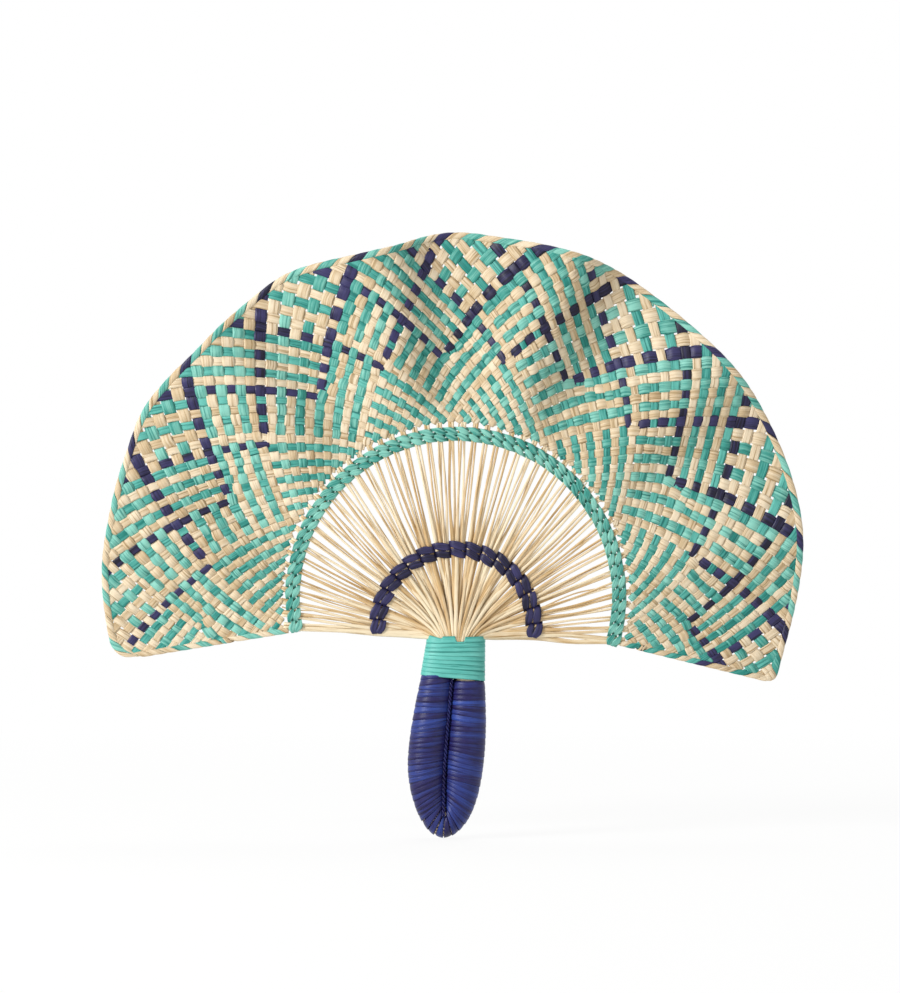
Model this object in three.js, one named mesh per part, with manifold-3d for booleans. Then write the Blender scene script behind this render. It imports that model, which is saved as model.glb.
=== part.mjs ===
// Palm leaf hand fan: a ruffled woven blade on straw spokes, held by two twined bands,
// bound at the neck and folded back into a looped handle wrapped with dyed strip.
// Millimetres, +Z up. The fan stands upright with its front towards -Y,
// and the origin is in the middle of the grip.
import * as THREE from "three";
import { mergeVertices } from "three/addons/utils/BufferGeometryUtils.js";
import ManifoldModule from "manifold-3d";

// Blade: a half ring about its own centre, drawn in towards its two lower corners.
// Rises are measured from the top of the neck.
const BLADE_CENTRE_RISE = 16.5;
const RIM_RADIUS = 186;
const RIM_DRAW_IN_LEFT = 13;
const RIM_DRAW_IN_RIGHT = 21;
const BLADE_LEFT_ANGLE = 189.3;
const BLADE_RIGHT_ANGLE = -13.7;
const LEFT_CORNER_RADIUS = 10;
const RIGHT_CORNER_RADIUS = 4;
const BLADE_THICKNESS = 1.2;
const RIM_FOLD_THICKNESS = 2.2;
const RIM_FOLD_WIDTH = 5;

// Ruffles: each falls steeply from a ridge to a valley and climbs slowly to the next ridge.
const RUFFLE_PERIOD = 31;
const RUFFLE_RIDGE_ANGLE = 104;
const RUFFLE_FALL_SHARE = 0.42;
const RUFFLE_HEIGHT_MOST = 7;
const RUFFLE_HEIGHT_LEAST = 2.5;
const RUFFLE_MOST_ANGLE = 76;
const RUFFLE_SPREAD_ANGLE = 42;
const RUFFLE_GROWTH_SHARE = 0.6;

// Spokes: bundles of straws that part into single spokes beyond the inner band.
const BUNDLE_COUNT = 17;
const SPOKES_PER_BUNDLE = 3;
const SPOKE_WIDTH = 2;
const SPOKE_THICKNESS = 1;
const BUNDLE_WIDTH = 4.8;
const BUNDLE_THICKNESS = 2.4;
const BUNDLE_ROOT_THICKNESS = 4.8;
const BUNDLE_ROOT_LENGTH = 6.5;
const SPOKE_ORIGIN_RISE = 2.3;
const BUNDLE_LAYER_LENGTH = 19;

// Outer band: two rows of two strands, twisted half a turn between one spoke and the next.
const OUTER_BAND_RADIUS = 81.6;
const OUTER_BAND_RISE = 20.5;
const OUTER_BAND_LEFT_ANGLE = 190.5;
const OUTER_BAND_RIGHT_ANGLE = -15.5;
const OUTER_STRAND_WIDTH = 1.5;
const OUTER_STRAND_THICKNESS = 0.9;

// Inner band: the same twining round the bundles.
const INNER_BAND_RADIUS = 39.1;
const INNER_BAND_RISE = 5.3;
const INNER_BAND_LEFT_ANGLE = 180;
const INNER_BAND_RIGHT_ANGLE = -3;
const INNER_STRAND_WIDTH = 1.95;
const INNER_STRAND_THICKNESS = 0.9;

// Handle: one bundle folded into two legs side by side, leaning to the left going down.
// The seam between the legs ends at the inside of the fold, where the turns crowd together.
const NECK_TOP_HEIGHT = 59.5;
const NECK_LENGTH = 19;
const NECK_WIDTH = 28.8;
const GRIP_WIDTH = 38;
const GRIP_BELLY_HEIGHT = 2;
const FOLD_HEIGHT = -28;
const FOLD_CROWDING = 2.6;
const TIP_HEIGHT = -39;
const LEG_BASE_DEPTH = 4;
const LEG_DEPTH_SHARE = 0.5;
const HANDLE_LEAN = 0.083;
const LEG_SIDES = 12;
const LEG_SEAM = 0.4;

// Windings: flat strip laid turn beside turn.
const NECK_TURNS = 9;
const NECK_STRIP_THICKNESS = 0.8;
const WRAP_TURNS = 29;
const WRAP_THICKNESS = 0.9;
const TURN_GAP = 0.55;

// Seam lashing: a thin twisted strip in the front groove between the legs.
const LASHING_RADIUS = 1.1;
const LASHING_TOP_DROP = 3.5;
const LASHING_END_RISE = 4;
const LASHING_SIDES = 6;
const LASHING_STEPS = 12;

// Clear room between pieces that touch, and between the strands of one row.
const CLEARANCE = 0.3;
const STRAND_GAP = 0.4;

// Steps along the blade: stations round the arc, and rows from the inner edge to the rim fold.
const BLADE_STATIONS = 80;
const BLADE_ROWS = 5;
const STATION_CROWDING = 0.6;

const STRAW_COLOUR = 0xe6d2ae;
const TEAL_COLOUR = 0x45b5a4;
const NECK_TEAL_COLOUR = 0x5fc4b5;
const NAVY_COLOUR = 0x35305c;
const HANDLE_NAVY_COLOUR = 0x3a3d85;

const manifoldLibrary = await ManifoldModule();
manifoldLibrary.setup();

// A closed body whose faces are turned to point out.
function closedBody(positions, index) {
  const corner = (at) => new THREE.Vector3().fromArray(positions, 3 * at);
  let volume = 0;
  for (let at = 0; at < index.length; at += 3) {
    const [a, b, c] = index.slice(at, at + 3).map(corner);
    volume += a.dot(b.cross(c));
  }
  const geometry = new THREE.BufferGeometry();
  geometry.setAttribute("position", new THREE.Float32BufferAttribute(positions, 3));
  geometry.setIndex(volume < 0 ? index.toReversed() : index);
  geometry.computeVertexNormals();
  return geometry;
}

// One body through a row of rings, each ending in a flat cap.
// A ring runs up one side of its section and back down the other, so the caps are ladders.
function loft(rings) {
  const sides = rings[0].length;
  const positions = rings.flat().flatMap((point) => point.toArray());
  const index = [];
  const quad = (a, b, c, d) => index.push(a, b, c, a, c, d);
  for (let ring = 0; ring + 1 < rings.length; ring++) {
    for (let side = 0; side < sides; side++) {
      const here = ring * sides + side;
      const next = ring * sides + (side + 1) % sides;
      quad(here, next, next + sides, here + sides);
    }
  }
  const last = (rings.length - 1) * sides;
  for (let side = 0; side < sides / 2 - 1; side++) {
    const across = sides - 1 - side;
    quad(side, across, across - 1, side + 1);
    quad(last + side, last + side + 1, last + across - 1, last + across);
  }
  return closedBody(positions, index);
}

function toSolid(geometry) {
  const bare = geometry.clone();
  bare.deleteAttribute("normal");
  const merged = mergeVertices(bare);
  const mesh = new manifoldLibrary.Mesh({
    numProp: 3,
    vertProperties: new Float32Array(merged.attributes.position.array),
    triVerts: new Uint32Array(merged.index.array),
  });
  return new manifoldLibrary.Manifold(mesh);
}

function joined(geometries) {
  const mesh = geometries.map(toSolid).reduce((whole, piece) => whole.add(piece)).getMesh();
  return closedBody(Array.from(mesh.vertProperties), Array.from(mesh.triVerts));
}

function named(name, geometry, colour) {
  const material = new THREE.MeshStandardMaterial({ color: colour, roughness: 0.7, metalness: 0 });
  const mesh = new THREE.Mesh(geometry, material);
  mesh.name = name;
  return mesh;
}

const radians = THREE.MathUtils.degToRad;
const lerp = THREE.MathUtils.lerp;

// A point in the plane of the fan, at an angle and a distance from a centre on the middle line.
function polar(height, angle, radius, depth = 0) {
  const turn = radians(angle);
  return new THREE.Vector3(radius * Math.cos(turn), depth, height + radius * Math.sin(turn));
}

// Even steps from one angle to another.
function angles(first, last, count) {
  return Array.from({ length: count }, (_, step) => lerp(first, last, step / (count - 1)));
}

const neckBottomHeight = NECK_TOP_HEIGHT - NECK_LENGTH;
const bladeCentreHeight = NECK_TOP_HEIGHT + BLADE_CENTRE_RISE;
const outerBandHeight = NECK_TOP_HEIGHT + OUTER_BAND_RISE;
const innerBandHeight = NECK_TOP_HEIGHT + INNER_BAND_RISE;
const spokeOriginHeight = NECK_TOP_HEIGHT + SPOKE_ORIGIN_RISE;

// How wide one row of twining is, and how far apart the two rows of a band lie.
const rowWidth = (strandWidth) => 2 * strandWidth + STRAND_GAP;
const rowPitch = (strandWidth) => rowWidth(strandWidth) + STRAND_GAP;
const bandReach = (strandWidth) => rowPitch(strandWidth) / 2 + rowWidth(strandWidth) / 2;

const outerBandEdge = OUTER_BAND_RADIUS + bandReach(OUTER_STRAND_WIDTH);
const bladeInnerRadius = outerBandEdge + CLEARANCE;

// Height of the ruffle towards the front, at an angle and a share of the way from band to rim.
function ruffle(angle, share) {
  const turns = (RUFFLE_RIDGE_ANGLE - angle) / RUFFLE_PERIOD;
  const along = turns - Math.floor(turns);
  const wave = along < RUFFLE_FALL_SHARE
    ? Math.cos(Math.PI * along / RUFFLE_FALL_SHARE)
    : -Math.cos(Math.PI * (along - RUFFLE_FALL_SHARE) / (1 - RUFFLE_FALL_SHARE));
  const nearness = Math.exp(-(((angle - RUFFLE_MOST_ANGLE) / RUFFLE_SPREAD_ANGLE) ** 2));
  const height = lerp(RUFFLE_HEIGHT_LEAST, RUFFLE_HEIGHT_MOST, nearness);
  const growth = Math.sin(Math.PI / 2 * Math.min(1, share / RUFFLE_GROWTH_SHARE));
  return height * growth * wave;
}

// Distance of the rim from the blade's centre: drawn in with the cube of the way to a corner,
// and rounded off in the last few degrees.
function rimRadius(angle) {
  const middle = (BLADE_LEFT_ANGLE + BLADE_RIGHT_ANGLE) / 2;
  const onLeft = angle > middle;
  const end = onLeft ? BLADE_LEFT_ANGLE : BLADE_RIGHT_ANGLE;
  const drawIn = onLeft ? RIM_DRAW_IN_LEFT : RIM_DRAW_IN_RIGHT;
  const corner = onLeft ? LEFT_CORNER_RADIUS : RIGHT_CORNER_RADIUS;
  const smooth = RIM_RADIUS - drawIn * Math.abs((angle - middle) / (end - middle)) ** 3;
  const fromEnd = radians(Math.abs(end - angle)) * smooth;
  const into = Math.max(0, 1 - fromEnd / corner);
  return smooth - corner * (1 - Math.sqrt(1 - into * into));
}

// Where a ray from the blade's centre meets the blade's inner edge, a circle about the band's centre.
function innerEdgeRadius(angle) {
  const offset = OUTER_BAND_RISE - BLADE_CENTRE_RISE;
  const turn = radians(angle);
  const across = offset * Math.cos(turn);
  return offset * Math.sin(turn) + Math.sqrt(bladeInnerRadius ** 2 - across * across);
}

// The blade: thin all over, with its strips folded back into a thicker edge along the rim.
function wovenBlade() {
  const rings = [];
  for (let station = 0; station <= BLADE_STATIONS; station++) {
    const even = station / BLADE_STATIONS;
    const crowded = even - STATION_CROWDING * Math.sin(2 * Math.PI * even) / (2 * Math.PI);
    const angle = lerp(BLADE_LEFT_ANGLE, BLADE_RIGHT_ANGLE, crowded);
    const inner = innerEdgeRadius(angle);
    const rim = rimRadius(angle);
    const foldStart = rim - RIM_FOLD_WIDTH;
    const section = [];
    for (let row = 0; row <= BLADE_ROWS; row++) {
      section.push({ radius: lerp(inner, foldStart, row / BLADE_ROWS), thickness: BLADE_THICKNESS });
    }
    section.push({ radius: lerp(foldStart, rim, 0.4), thickness: RIM_FOLD_THICKNESS });
    section.push({ radius: rim, thickness: BLADE_THICKNESS });
    const side = (facing) => section.map(({ radius, thickness }) => {
      const depth = -ruffle(angle, (radius - inner) / (rim - inner)) + facing * thickness / 2;
      return polar(bladeCentreHeight, angle, radius, depth);
    });
    rings.push([...side(-1), ...side(1).reverse()]);
  }
  return loft(rings);
}

// A flat bar through points in the plane of the fan, mitred at its bends.
function bar(stations) {
  const rings = stations.map(({ at, width, thickness }, step) => {
    const before = stations[Math.max(0, step - 1)].at;
    const after = stations[Math.min(stations.length - 1, step + 1)].at;
    const flat = (vector) => new THREE.Vector2(vector.x, vector.z).normalize();
    const arriving = step > 0 ? flat(at.clone().sub(before)) : flat(after.clone().sub(at));
    const leaving = step + 1 < stations.length ? flat(after.clone().sub(at)) : arriving.clone();
    const along = arriving.clone().add(leaving).normalize();
    const half = width / 2 / along.dot(arriving);
    const across = new THREE.Vector3(-along.y * half, 0, along.x * half);
    const deep = new THREE.Vector3(0, thickness / 2, 0);
    return [
      at.clone().add(across).add(deep),
      at.clone().sub(across).add(deep),
      at.clone().sub(across).sub(deep),
      at.clone().add(across).sub(deep),
    ];
  });
  return loft(rings);
}

// Middle line of each bundle, from the point where all would meet to its place in the inner band.
const spokeOrigin = new THREE.Vector3(0, 0, spokeOriginHeight);
const bundleLines = angles(INNER_BAND_LEFT_ANGLE, INNER_BAND_RIGHT_ANGLE, BUNDLE_COUNT).map((angle) => {
  return new THREE.Line3(spokeOrigin, polar(innerBandHeight, angle, INNER_BAND_RADIUS));
});

// Middle line of each spoke, from its place in the bundle to the blade's inner edge.
const spokeCount = BUNDLE_COUNT * SPOKES_PER_BUNDLE;
const spokeEnd = bladeInnerRadius - CLEARANCE - SPOKE_WIDTH / 4;
const spokeLines = angles(OUTER_BAND_LEFT_ANGLE, OUTER_BAND_RIGHT_ANGLE, spokeCount).map((angle, spoke) => {
  const line = bundleLines[Math.floor(spoke / SPOKES_PER_BUNDLE)];
  const outward = line.delta(new THREE.Vector3()).normalize();
  const place = spoke % SPOKES_PER_BUNDLE - (SPOKES_PER_BUNDLE - 1) / 2;
  const aside = place * (BUNDLE_WIDTH - SPOKE_WIDTH) / (SPOKES_PER_BUNDLE - 1);
  const from = line.end.clone().add(new THREE.Vector3(outward.z * aside, 0, -outward.x * aside));
  return new THREE.Line3(from, polar(outerBandHeight, angle, spokeEnd));
});

// Where a line crosses a circle about a centre on the middle line, and how far it is off square there.
function crossing(line, height, radius) {
  const outward = line.delta(new THREE.Vector3()).normalize();
  const start = line.start.clone().sub(new THREE.Vector3(0, 0, height));
  const nearest = -start.dot(outward);
  const aside = start.clone().addScaledVector(outward, nearest);
  const at = aside.clone().addScaledVector(outward, Math.sqrt(radius ** 2 - aside.lengthSq()));
  const turn = Math.atan2(at.z, at.x);
  const angle = THREE.MathUtils.radToDeg(turn < -Math.PI / 2 ? turn + 2 * Math.PI : turn);
  return { angle, slant: Math.asin(aside.length() / radius) };
}

// Outer edge of a leg in the plane of the fan, from the neck down to the tip of the fold.
const legOutline = (() => {
  const points = [];
  const steps = 20;
  for (let step = 0; step < steps; step++) {
    const width = lerp(NECK_WIDTH, GRIP_WIDTH, Math.sin(Math.PI / 2 * step / steps));
    points.push(new THREE.Vector3(width / 2, 0, lerp(neckBottomHeight, GRIP_BELLY_HEIGHT, step / steps)));
  }
  for (let step = 0; step <= steps; step++) {
    const turn = Math.PI / 2 * step / steps;
    const height = lerp(GRIP_BELLY_HEIGHT, TIP_HEIGHT, Math.sin(turn));
    points.push(new THREE.Vector3(Math.max(GRIP_WIDTH * Math.cos(turn), LEG_SEAM) / 2, 0, height));
  }
  return new THREE.CatmullRomCurve3(points);
})();
const outlineLength = legOutline.getLength();

const leanShift = (height) => HANDLE_LEAN * (height - NECK_TOP_HEIGHT);

// A point on a right or left leg, on the section between an inner and an outer edge,
// at a turn round it and a distance out from its bare surface.
function sectionPoint(side, inner, outer, turn, windingThickness, out) {
  const half = inner.distanceTo(outer) / 2;
  const bare = windingThickness + CLEARANCE;
  const wide = (half - bare + out) * Math.cos(turn);
  const deep = (LEG_BASE_DEPTH + LEG_DEPTH_SHARE * half - bare + out) * Math.sin(turn);
  const point = inner.clone().lerp(outer, (half + wide) / (2 * half));
  return new THREE.Vector3(side * point.x + leanShift(point.z), deep, point.z);
}

function neckPoint(side, height, turn, windingThickness, out) {
  const inner = new THREE.Vector3(LEG_SEAM / 2, 0, height);
  const outer = new THREE.Vector3(NECK_WIDTH / 2, 0, height);
  return sectionPoint(side, inner, outer, turn, windingThickness, out);
}

// A point on a leg below the neck, at a share of the way along its outline.
// The inner edge keeps level with the outer one at first and lags behind it towards the fold.
function legPoint(side, share, turn, windingThickness, out) {
  const lag = outlineLength - (neckBottomHeight - FOLD_HEIGHT);
  const drop = outlineLength * share - lag * share ** FOLD_CROWDING;
  const inner = new THREE.Vector3(LEG_SEAM / 2, 0, neckBottomHeight - drop);
  return sectionPoint(side, inner, legOutline.getPointAt(share), turn, windingThickness, out);
}

const coreTopHeight = NECK_TOP_HEIGHT - BUNDLE_ROOT_LENGTH - CLEARANCE;

// Straws of a bundle: a trunk from the neck through the inner band, parting into single spokes.
// The roots stand in the neck in two layers, turn and turn about.
function spokeBundle(bundle) {
  const neckHalf = (NECK_WIDTH - LEG_SEAM) / 4;
  const bare = NECK_STRIP_THICKNESS + CLEARANCE;
  const neckDeep = LEG_BASE_DEPTH + LEG_DEPTH_SHARE * neckHalf - bare;
  const layerReach = (BUNDLE_ROOT_THICKNESS + STRAND_GAP) / 2;
  const layerEdge = layerReach + BUNDLE_ROOT_THICKNESS / 2;
  const roundShare = Math.sqrt(1 - (layerEdge / neckDeep) ** 2);
  const rootReach = NECK_WIDTH / 2 - neckHalf + (neckHalf - bare) * roundShare;
  const rootPitch = 2 * rootReach / (BUNDLE_COUNT + 2);
  const rootWidth = 2 * rootPitch - STRAND_GAP;
  const middle = (BUNDLE_COUNT - 1) / 2;
  const rootX = (bundle - middle) * rootPitch;
  const depth = (bundle % 2 === 0 ? -1 : 1) * layerReach;

  const line = bundleLines[bundle];
  const reach = line.distance();
  const outward = line.delta(new THREE.Vector3()).normalize();
  const onLine = (distance) => spokeOrigin.clone().addScaledVector(outward, distance);
  const bend = Math.abs(rootX) < CLEARANCE ? spokeOrigin.clone() : onLine(rootX / outward.x);
  const bandHalf = bandReach(INNER_STRAND_WIDTH) + CLEARANCE;
  const layered = (point) => point.setY(depth);
  const root = new THREE.Vector3(rootX, depth, NECK_TOP_HEIGHT - BUNDLE_ROOT_LENGTH);
  const rootSize = { width: rootWidth, thickness: BUNDLE_ROOT_THICKNESS };
  const bandSize = { width: BUNDLE_WIDTH, thickness: BUNDLE_THICKNESS };
  const trunk = bar([
    { at: root, ...rootSize },
    { at: layered(bend), ...rootSize },
    { at: layered(onLine(BUNDLE_LAYER_LENGTH)), ...rootSize },
    { at: onLine(reach - bandHalf), ...bandSize },
    { at: onLine(reach + bandHalf), ...bandSize },
  ]);

  const first = bundle * SPOKES_PER_BUNDLE;
  const size = { width: SPOKE_WIDTH, thickness: SPOKE_THICKNESS };
  const spokes = spokeLines.slice(first, first + SPOKES_PER_BUNDLE).map(({ start, end }) => {
    return bar([{ at: start, ...size }, { at: end, ...size }]);
  });
  return joined([trunk, ...spokes]);
}

// One strand of a twined row. It crosses each spoke on a slant, in front of one and behind the next,
// and changes over in the gap between them.
function twinedStrand(row, leads) {
  const { height, radius, lines, passes, width, thickness } = row;
  const rise = (width + STRAND_GAP) / 2;
  const depth = passes.thickness / 2 + CLEARANCE + thickness / 2;
  const stations = [];
  lines.forEach((line, spoke) => {
    const inFront = (spoke % 2 === 0) === leads;
    const { angle, slant } = crossing(line, height, radius);
    const passed = passes.width / 2 / Math.cos(slant) + rowWidth(width) / 2 * Math.tan(slant);
    const halfPass = passed + CLEARANCE + thickness / 2;
    for (const end of [-1, 1]) {
      stations.push({
        angle: angle - end * THREE.MathUtils.radToDeg(halfPass / radius),
        depth: inFront ? -depth : depth,
        rise: (inFront ? -end : end) * rise,
      });
    }
  });
  const unrolled = stations.map(({ angle, depth: deep }) => {
    return new THREE.Vector2(-radians(angle) * radius, deep);
  });
  const rings = stations.map((station, step) => {
    const direction = (from, to) => unrolled[to].clone().sub(unrolled[from]).normalize();
    const arriving = step > 0 ? direction(step - 1, step) : direction(step, step + 1);
    const leaving = step + 1 < stations.length ? direction(step, step + 1) : arriving;
    const along = arriving.clone().add(leaving).normalize();
    const half = thickness / 2 / along.dot(arriving);
    const turn = radians(station.angle);
    const tangent = new THREE.Vector3(Math.sin(turn), 0, -Math.cos(turn));
    const thick = tangent.multiplyScalar(-along.y * half).add(new THREE.Vector3(0, along.x * half, 0));
    const corner = (out) => polar(height, station.angle, radius + station.rise + out, station.depth);
    return [
      corner(width / 2).add(thick),
      corner(-width / 2).add(thick),
      corner(-width / 2).sub(thick),
      corner(width / 2).sub(thick),
    ];
  });
  return loft(rings);
}

// A twined band as four strands: two rows of two.
function twinedBand(name, band, colour) {
  const group = new THREE.Group();
  const rows = { inner_row: -1, outer_row: 1 };
  for (const [rowName, out] of Object.entries(rows)) {
    const row = { ...band, radius: band.radius + out * rowPitch(band.width) / 2 };
    group.add(named(`${name}_${rowName}_strand_a`, twinedStrand(row, true), colour));
    group.add(named(`${name}_${rowName}_strand_b`, twinedStrand(row, false), colour));
  }
  return group;
}

// Least room between one turn of a winding and the next, measured from corner to corner.
function printTurnGap(name, rings, stepsPerTurn) {
  let least = Infinity;
  for (let step = 0; step + stepsPerTurn < rings.length; step++) {
    const [, , lowerOuter, lowerInner] = rings[step];
    const [upperInner, upperOuter] = rings[step + stepsPerTurn];
    least = Math.min(least, lowerOuter.distanceTo(upperOuter), lowerInner.distanceTo(upperInner));
  }
  console.log(`${name}: least gap between turns ${least.toFixed(2)} mm`);
}

// Flat strip wound down one leg of the handle, from the neck to the tip of the fold.
// It starts in front, and narrows where the turns crowd, so that each keeps clear of the next.
function legWrap(name, side) {
  const pitch = 1 / (WRAP_TURNS + 1);
  const nudge = pitch / 10;
  const rings = [];
  for (let step = 0; step <= WRAP_TURNS * LEG_SIDES; step++) {
    const turn = 2 * Math.PI * step / LEG_SIDES - Math.PI / 2;
    const middle = pitch * (step / LEG_SIDES + 1 / 2);
    const point = (share, out) => legPoint(side, share, turn, WRAP_THICKNESS, CLEARANCE + out);
    const travel = point(middle + nudge, 0).distanceTo(point(middle - nudge, 0)) / (2 * nudge);
    const half = pitch / 2 - TURN_GAP / travel / 2;
    rings.push([
      point(middle - half, 0),
      point(middle - half, WRAP_THICKNESS),
      point(middle + half, WRAP_THICKNESS),
      point(middle + half, 0),
    ]);
  }
  printTurnGap(name, rings, LEG_SIDES);
  return loft(rings);
}

// Flat strip wound round both legs at the neck: two round ends joined by straight runs.
function neckBinding(name) {
  const pitch = NECK_LENGTH / (NECK_TURNS + 1);
  const width = pitch - TURN_GAP;
  const halfTurn = LEG_SIDES / 2;
  const stepsPerTurn = 2 * (halfTurn + 1);
  const rings = [];
  for (let step = 0; step <= NECK_TURNS * stepsPerTurn; step++) {
    const inTurn = step % stepsPerTurn;
    const onRight = inTurn <= halfTurn;
    const side = onRight ? 1 : -1;
    const round = onRight ? inTurn : stepsPerTurn - 1 - inTurn;
    const turn = Math.PI / 2 - Math.PI * round / halfTurn;
    const middle = NECK_TOP_HEIGHT - width / 2 - pitch * step / stepsPerTurn;
    const corner = (drop, out) => {
      return neckPoint(side, middle + drop, turn, NECK_STRIP_THICKNESS, CLEARANCE + out);
    };
    rings.push([
      corner(width / 2, 0),
      corner(width / 2, NECK_STRIP_THICKNESS),
      corner(-width / 2, NECK_STRIP_THICKNESS),
      corner(-width / 2, 0),
    ]);
  }
  printTurnGap(name, rings, stepsPerTurn);
  return loft(rings);
}

// The folded straw bundle inside the windings: down one leg, round the fold and up the other.
function handleCore() {
  const round = (point) => Array.from({ length: LEG_SIDES }, (_, step) => {
    return point(2 * Math.PI * step / LEG_SIDES);
  });
  const steps = 20;
  const leg = (side) => {
    const rings = [coreTopHeight, neckBottomHeight].map((height) => {
      return round((turn) => neckPoint(side, height, turn, NECK_STRIP_THICKNESS, 0));
    });
    for (let step = 1; step <= steps; step++) {
      rings.push(round((turn) => legPoint(side, step / steps, turn, WRAP_THICKNESS, 0)));
    }
    return rings;
  };
  return loft([...leg(-1), ...leg(1).reverse()]);
}

// How deep the lashing sinks between the legs at a height before it touches their windings.
function groovePoint(height, windings) {
  const at = new THREE.Vector3(leanShift(height), -LEG_BASE_DEPTH - GRIP_WIDTH / 2, height);
  const room = LASHING_RADIUS + CLEARANCE;
  const step = CLEARANCE / 10;
  while (windings.every((point) => point.distanceTo(at) > room)) {
    at.y += step;
  }
  at.y -= step;
  return at;
}

function seamLashing() {
  const windings = [];
  for (const share of angles(0, 1, 120)) {
    for (const turn of angles(180, 270, 60)) {
      const out = CLEARANCE + WRAP_THICKNESS;
      windings.push(legPoint(1, share, radians(turn), WRAP_THICKNESS, out));
      windings.push(legPoint(-1, share, radians(turn), WRAP_THICKNESS, out));
    }
  }
  const top = neckBottomHeight - LASHING_TOP_DROP;
  const rings = [];
  for (let step = 0; step <= LASHING_STEPS; step++) {
    const at = groovePoint(lerp(top, FOLD_HEIGHT + LASHING_END_RISE, step / LASHING_STEPS), windings);
    rings.push(Array.from({ length: LASHING_SIDES }, (_, side) => {
      const turn = 2 * Math.PI * side / LASHING_SIDES;
      const x = LASHING_RADIUS * Math.cos(turn);
      const y = LASHING_RADIUS * Math.sin(turn);
      return at.clone().add(new THREE.Vector3(x, y, 0));
    }));
  }
  return loft(rings);
}

const fan = new THREE.Group();
fan.add(named("woven_blade", wovenBlade(), STRAW_COLOUR));

for (let bundle = 0; bundle < BUNDLE_COUNT; bundle++) {
  const number = String(bundle + 1).padStart(2, "0");
  fan.add(named(`spoke_bundle_${number}`, spokeBundle(bundle), STRAW_COLOUR));
}

fan.add(twinedBand("outer_band", {
  height: outerBandHeight,
  radius: OUTER_BAND_RADIUS,
  lines: spokeLines,
  passes: { width: SPOKE_WIDTH, thickness: SPOKE_THICKNESS },
  width: OUTER_STRAND_WIDTH,
  thickness: OUTER_STRAND_THICKNESS,
}, TEAL_COLOUR));

fan.add(twinedBand("inner_band", {
  height: innerBandHeight,
  radius: INNER_BAND_RADIUS,
  lines: bundleLines,
  passes: { width: BUNDLE_WIDTH, thickness: BUNDLE_THICKNESS },
  width: INNER_STRAND_WIDTH,
  thickness: INNER_STRAND_THICKNESS,
}, NAVY_COLOUR));

const handle = new THREE.Group();
handle.add(named("handle_core", handleCore(), STRAW_COLOUR));
handle.add(named("neck_binding", neckBinding("neck_binding"), NECK_TEAL_COLOUR));
handle.add(named("handle_wrap_left", legWrap("handle_wrap_left", -1), HANDLE_NAVY_COLOUR));
handle.add(named("handle_wrap_right", legWrap("handle_wrap_right", 1), HANDLE_NAVY_COLOUR));
handle.add(named("seam_lashing", seamLashing(), HANDLE_NAVY_COLOUR));
fan.add(handle);

export default fan;
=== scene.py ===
# %% [markdown]
# # A palm leaf hand fan
# The fan is plaited from strips of palm leaf. Straws run out of a looped handle, are held by two
# twined bands, and split into strips that are woven on the bias into a ruffled half ring.
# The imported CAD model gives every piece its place. This lesson dresses it, strip by strip.

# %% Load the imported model
import math

import bpy
import numpy as np
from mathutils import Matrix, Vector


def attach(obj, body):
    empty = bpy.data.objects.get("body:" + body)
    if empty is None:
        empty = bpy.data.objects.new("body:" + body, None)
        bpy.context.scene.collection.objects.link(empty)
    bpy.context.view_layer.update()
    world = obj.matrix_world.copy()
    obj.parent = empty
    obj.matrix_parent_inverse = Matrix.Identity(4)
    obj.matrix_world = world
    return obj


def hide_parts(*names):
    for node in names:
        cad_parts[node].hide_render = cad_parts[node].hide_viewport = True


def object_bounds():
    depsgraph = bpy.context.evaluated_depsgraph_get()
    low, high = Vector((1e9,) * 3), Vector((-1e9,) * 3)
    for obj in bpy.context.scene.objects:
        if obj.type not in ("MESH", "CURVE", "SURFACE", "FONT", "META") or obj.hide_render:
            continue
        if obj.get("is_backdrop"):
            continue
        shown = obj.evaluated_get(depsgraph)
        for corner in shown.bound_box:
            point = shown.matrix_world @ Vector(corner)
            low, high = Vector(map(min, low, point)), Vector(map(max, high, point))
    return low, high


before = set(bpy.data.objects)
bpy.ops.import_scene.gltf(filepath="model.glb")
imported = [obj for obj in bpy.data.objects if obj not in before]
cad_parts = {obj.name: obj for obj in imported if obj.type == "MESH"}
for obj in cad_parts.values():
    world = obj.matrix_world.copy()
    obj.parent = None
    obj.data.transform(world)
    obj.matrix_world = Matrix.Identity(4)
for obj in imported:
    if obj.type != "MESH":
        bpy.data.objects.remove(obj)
cad_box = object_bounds()
MM = 0.001
chance = np.random.default_rng(11)
print("CAD box in mm:", [[round(value / MM, 1) for value in corner] for corner in cad_box])

# %% [markdown]
# ## Camera
# The photograph is taken square on, from far enough away that nothing looks bent.
# A camera without perspective would come close, but a long lens far off keeps the little there is.
# The picture is 900 by 993 pixels and one pixel is half a millimetre at the blade, so the height of
# the picture gives the lens for a chosen distance.

# %% Camera square on to the blade
PICTURE_HEIGHT = 496.5
CAMERA_DISTANCE = 1900
SENSOR_HEIGHT = 36
PICTURE_MIDDLE = (-3, 130.25)

camera_data = bpy.data.cameras.new("camera")
camera_data.sensor_fit = "VERTICAL"
camera_data.sensor_height = SENSOR_HEIGHT
camera_data.lens = SENSOR_HEIGHT * CAMERA_DISTANCE / PICTURE_HEIGHT
camera = bpy.data.objects.new("camera", camera_data)
camera.location = (PICTURE_MIDDLE[0] * MM, -CAMERA_DISTANCE * MM, PICTURE_MIDDLE[1] * MM)
camera.rotation_euler = (math.radians(90), 0, 0)
bpy.context.collection.objects.link(camera)
bpy.context.scene.camera = camera
print(f"lens {camera_data.lens:.0f} mm")

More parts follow.
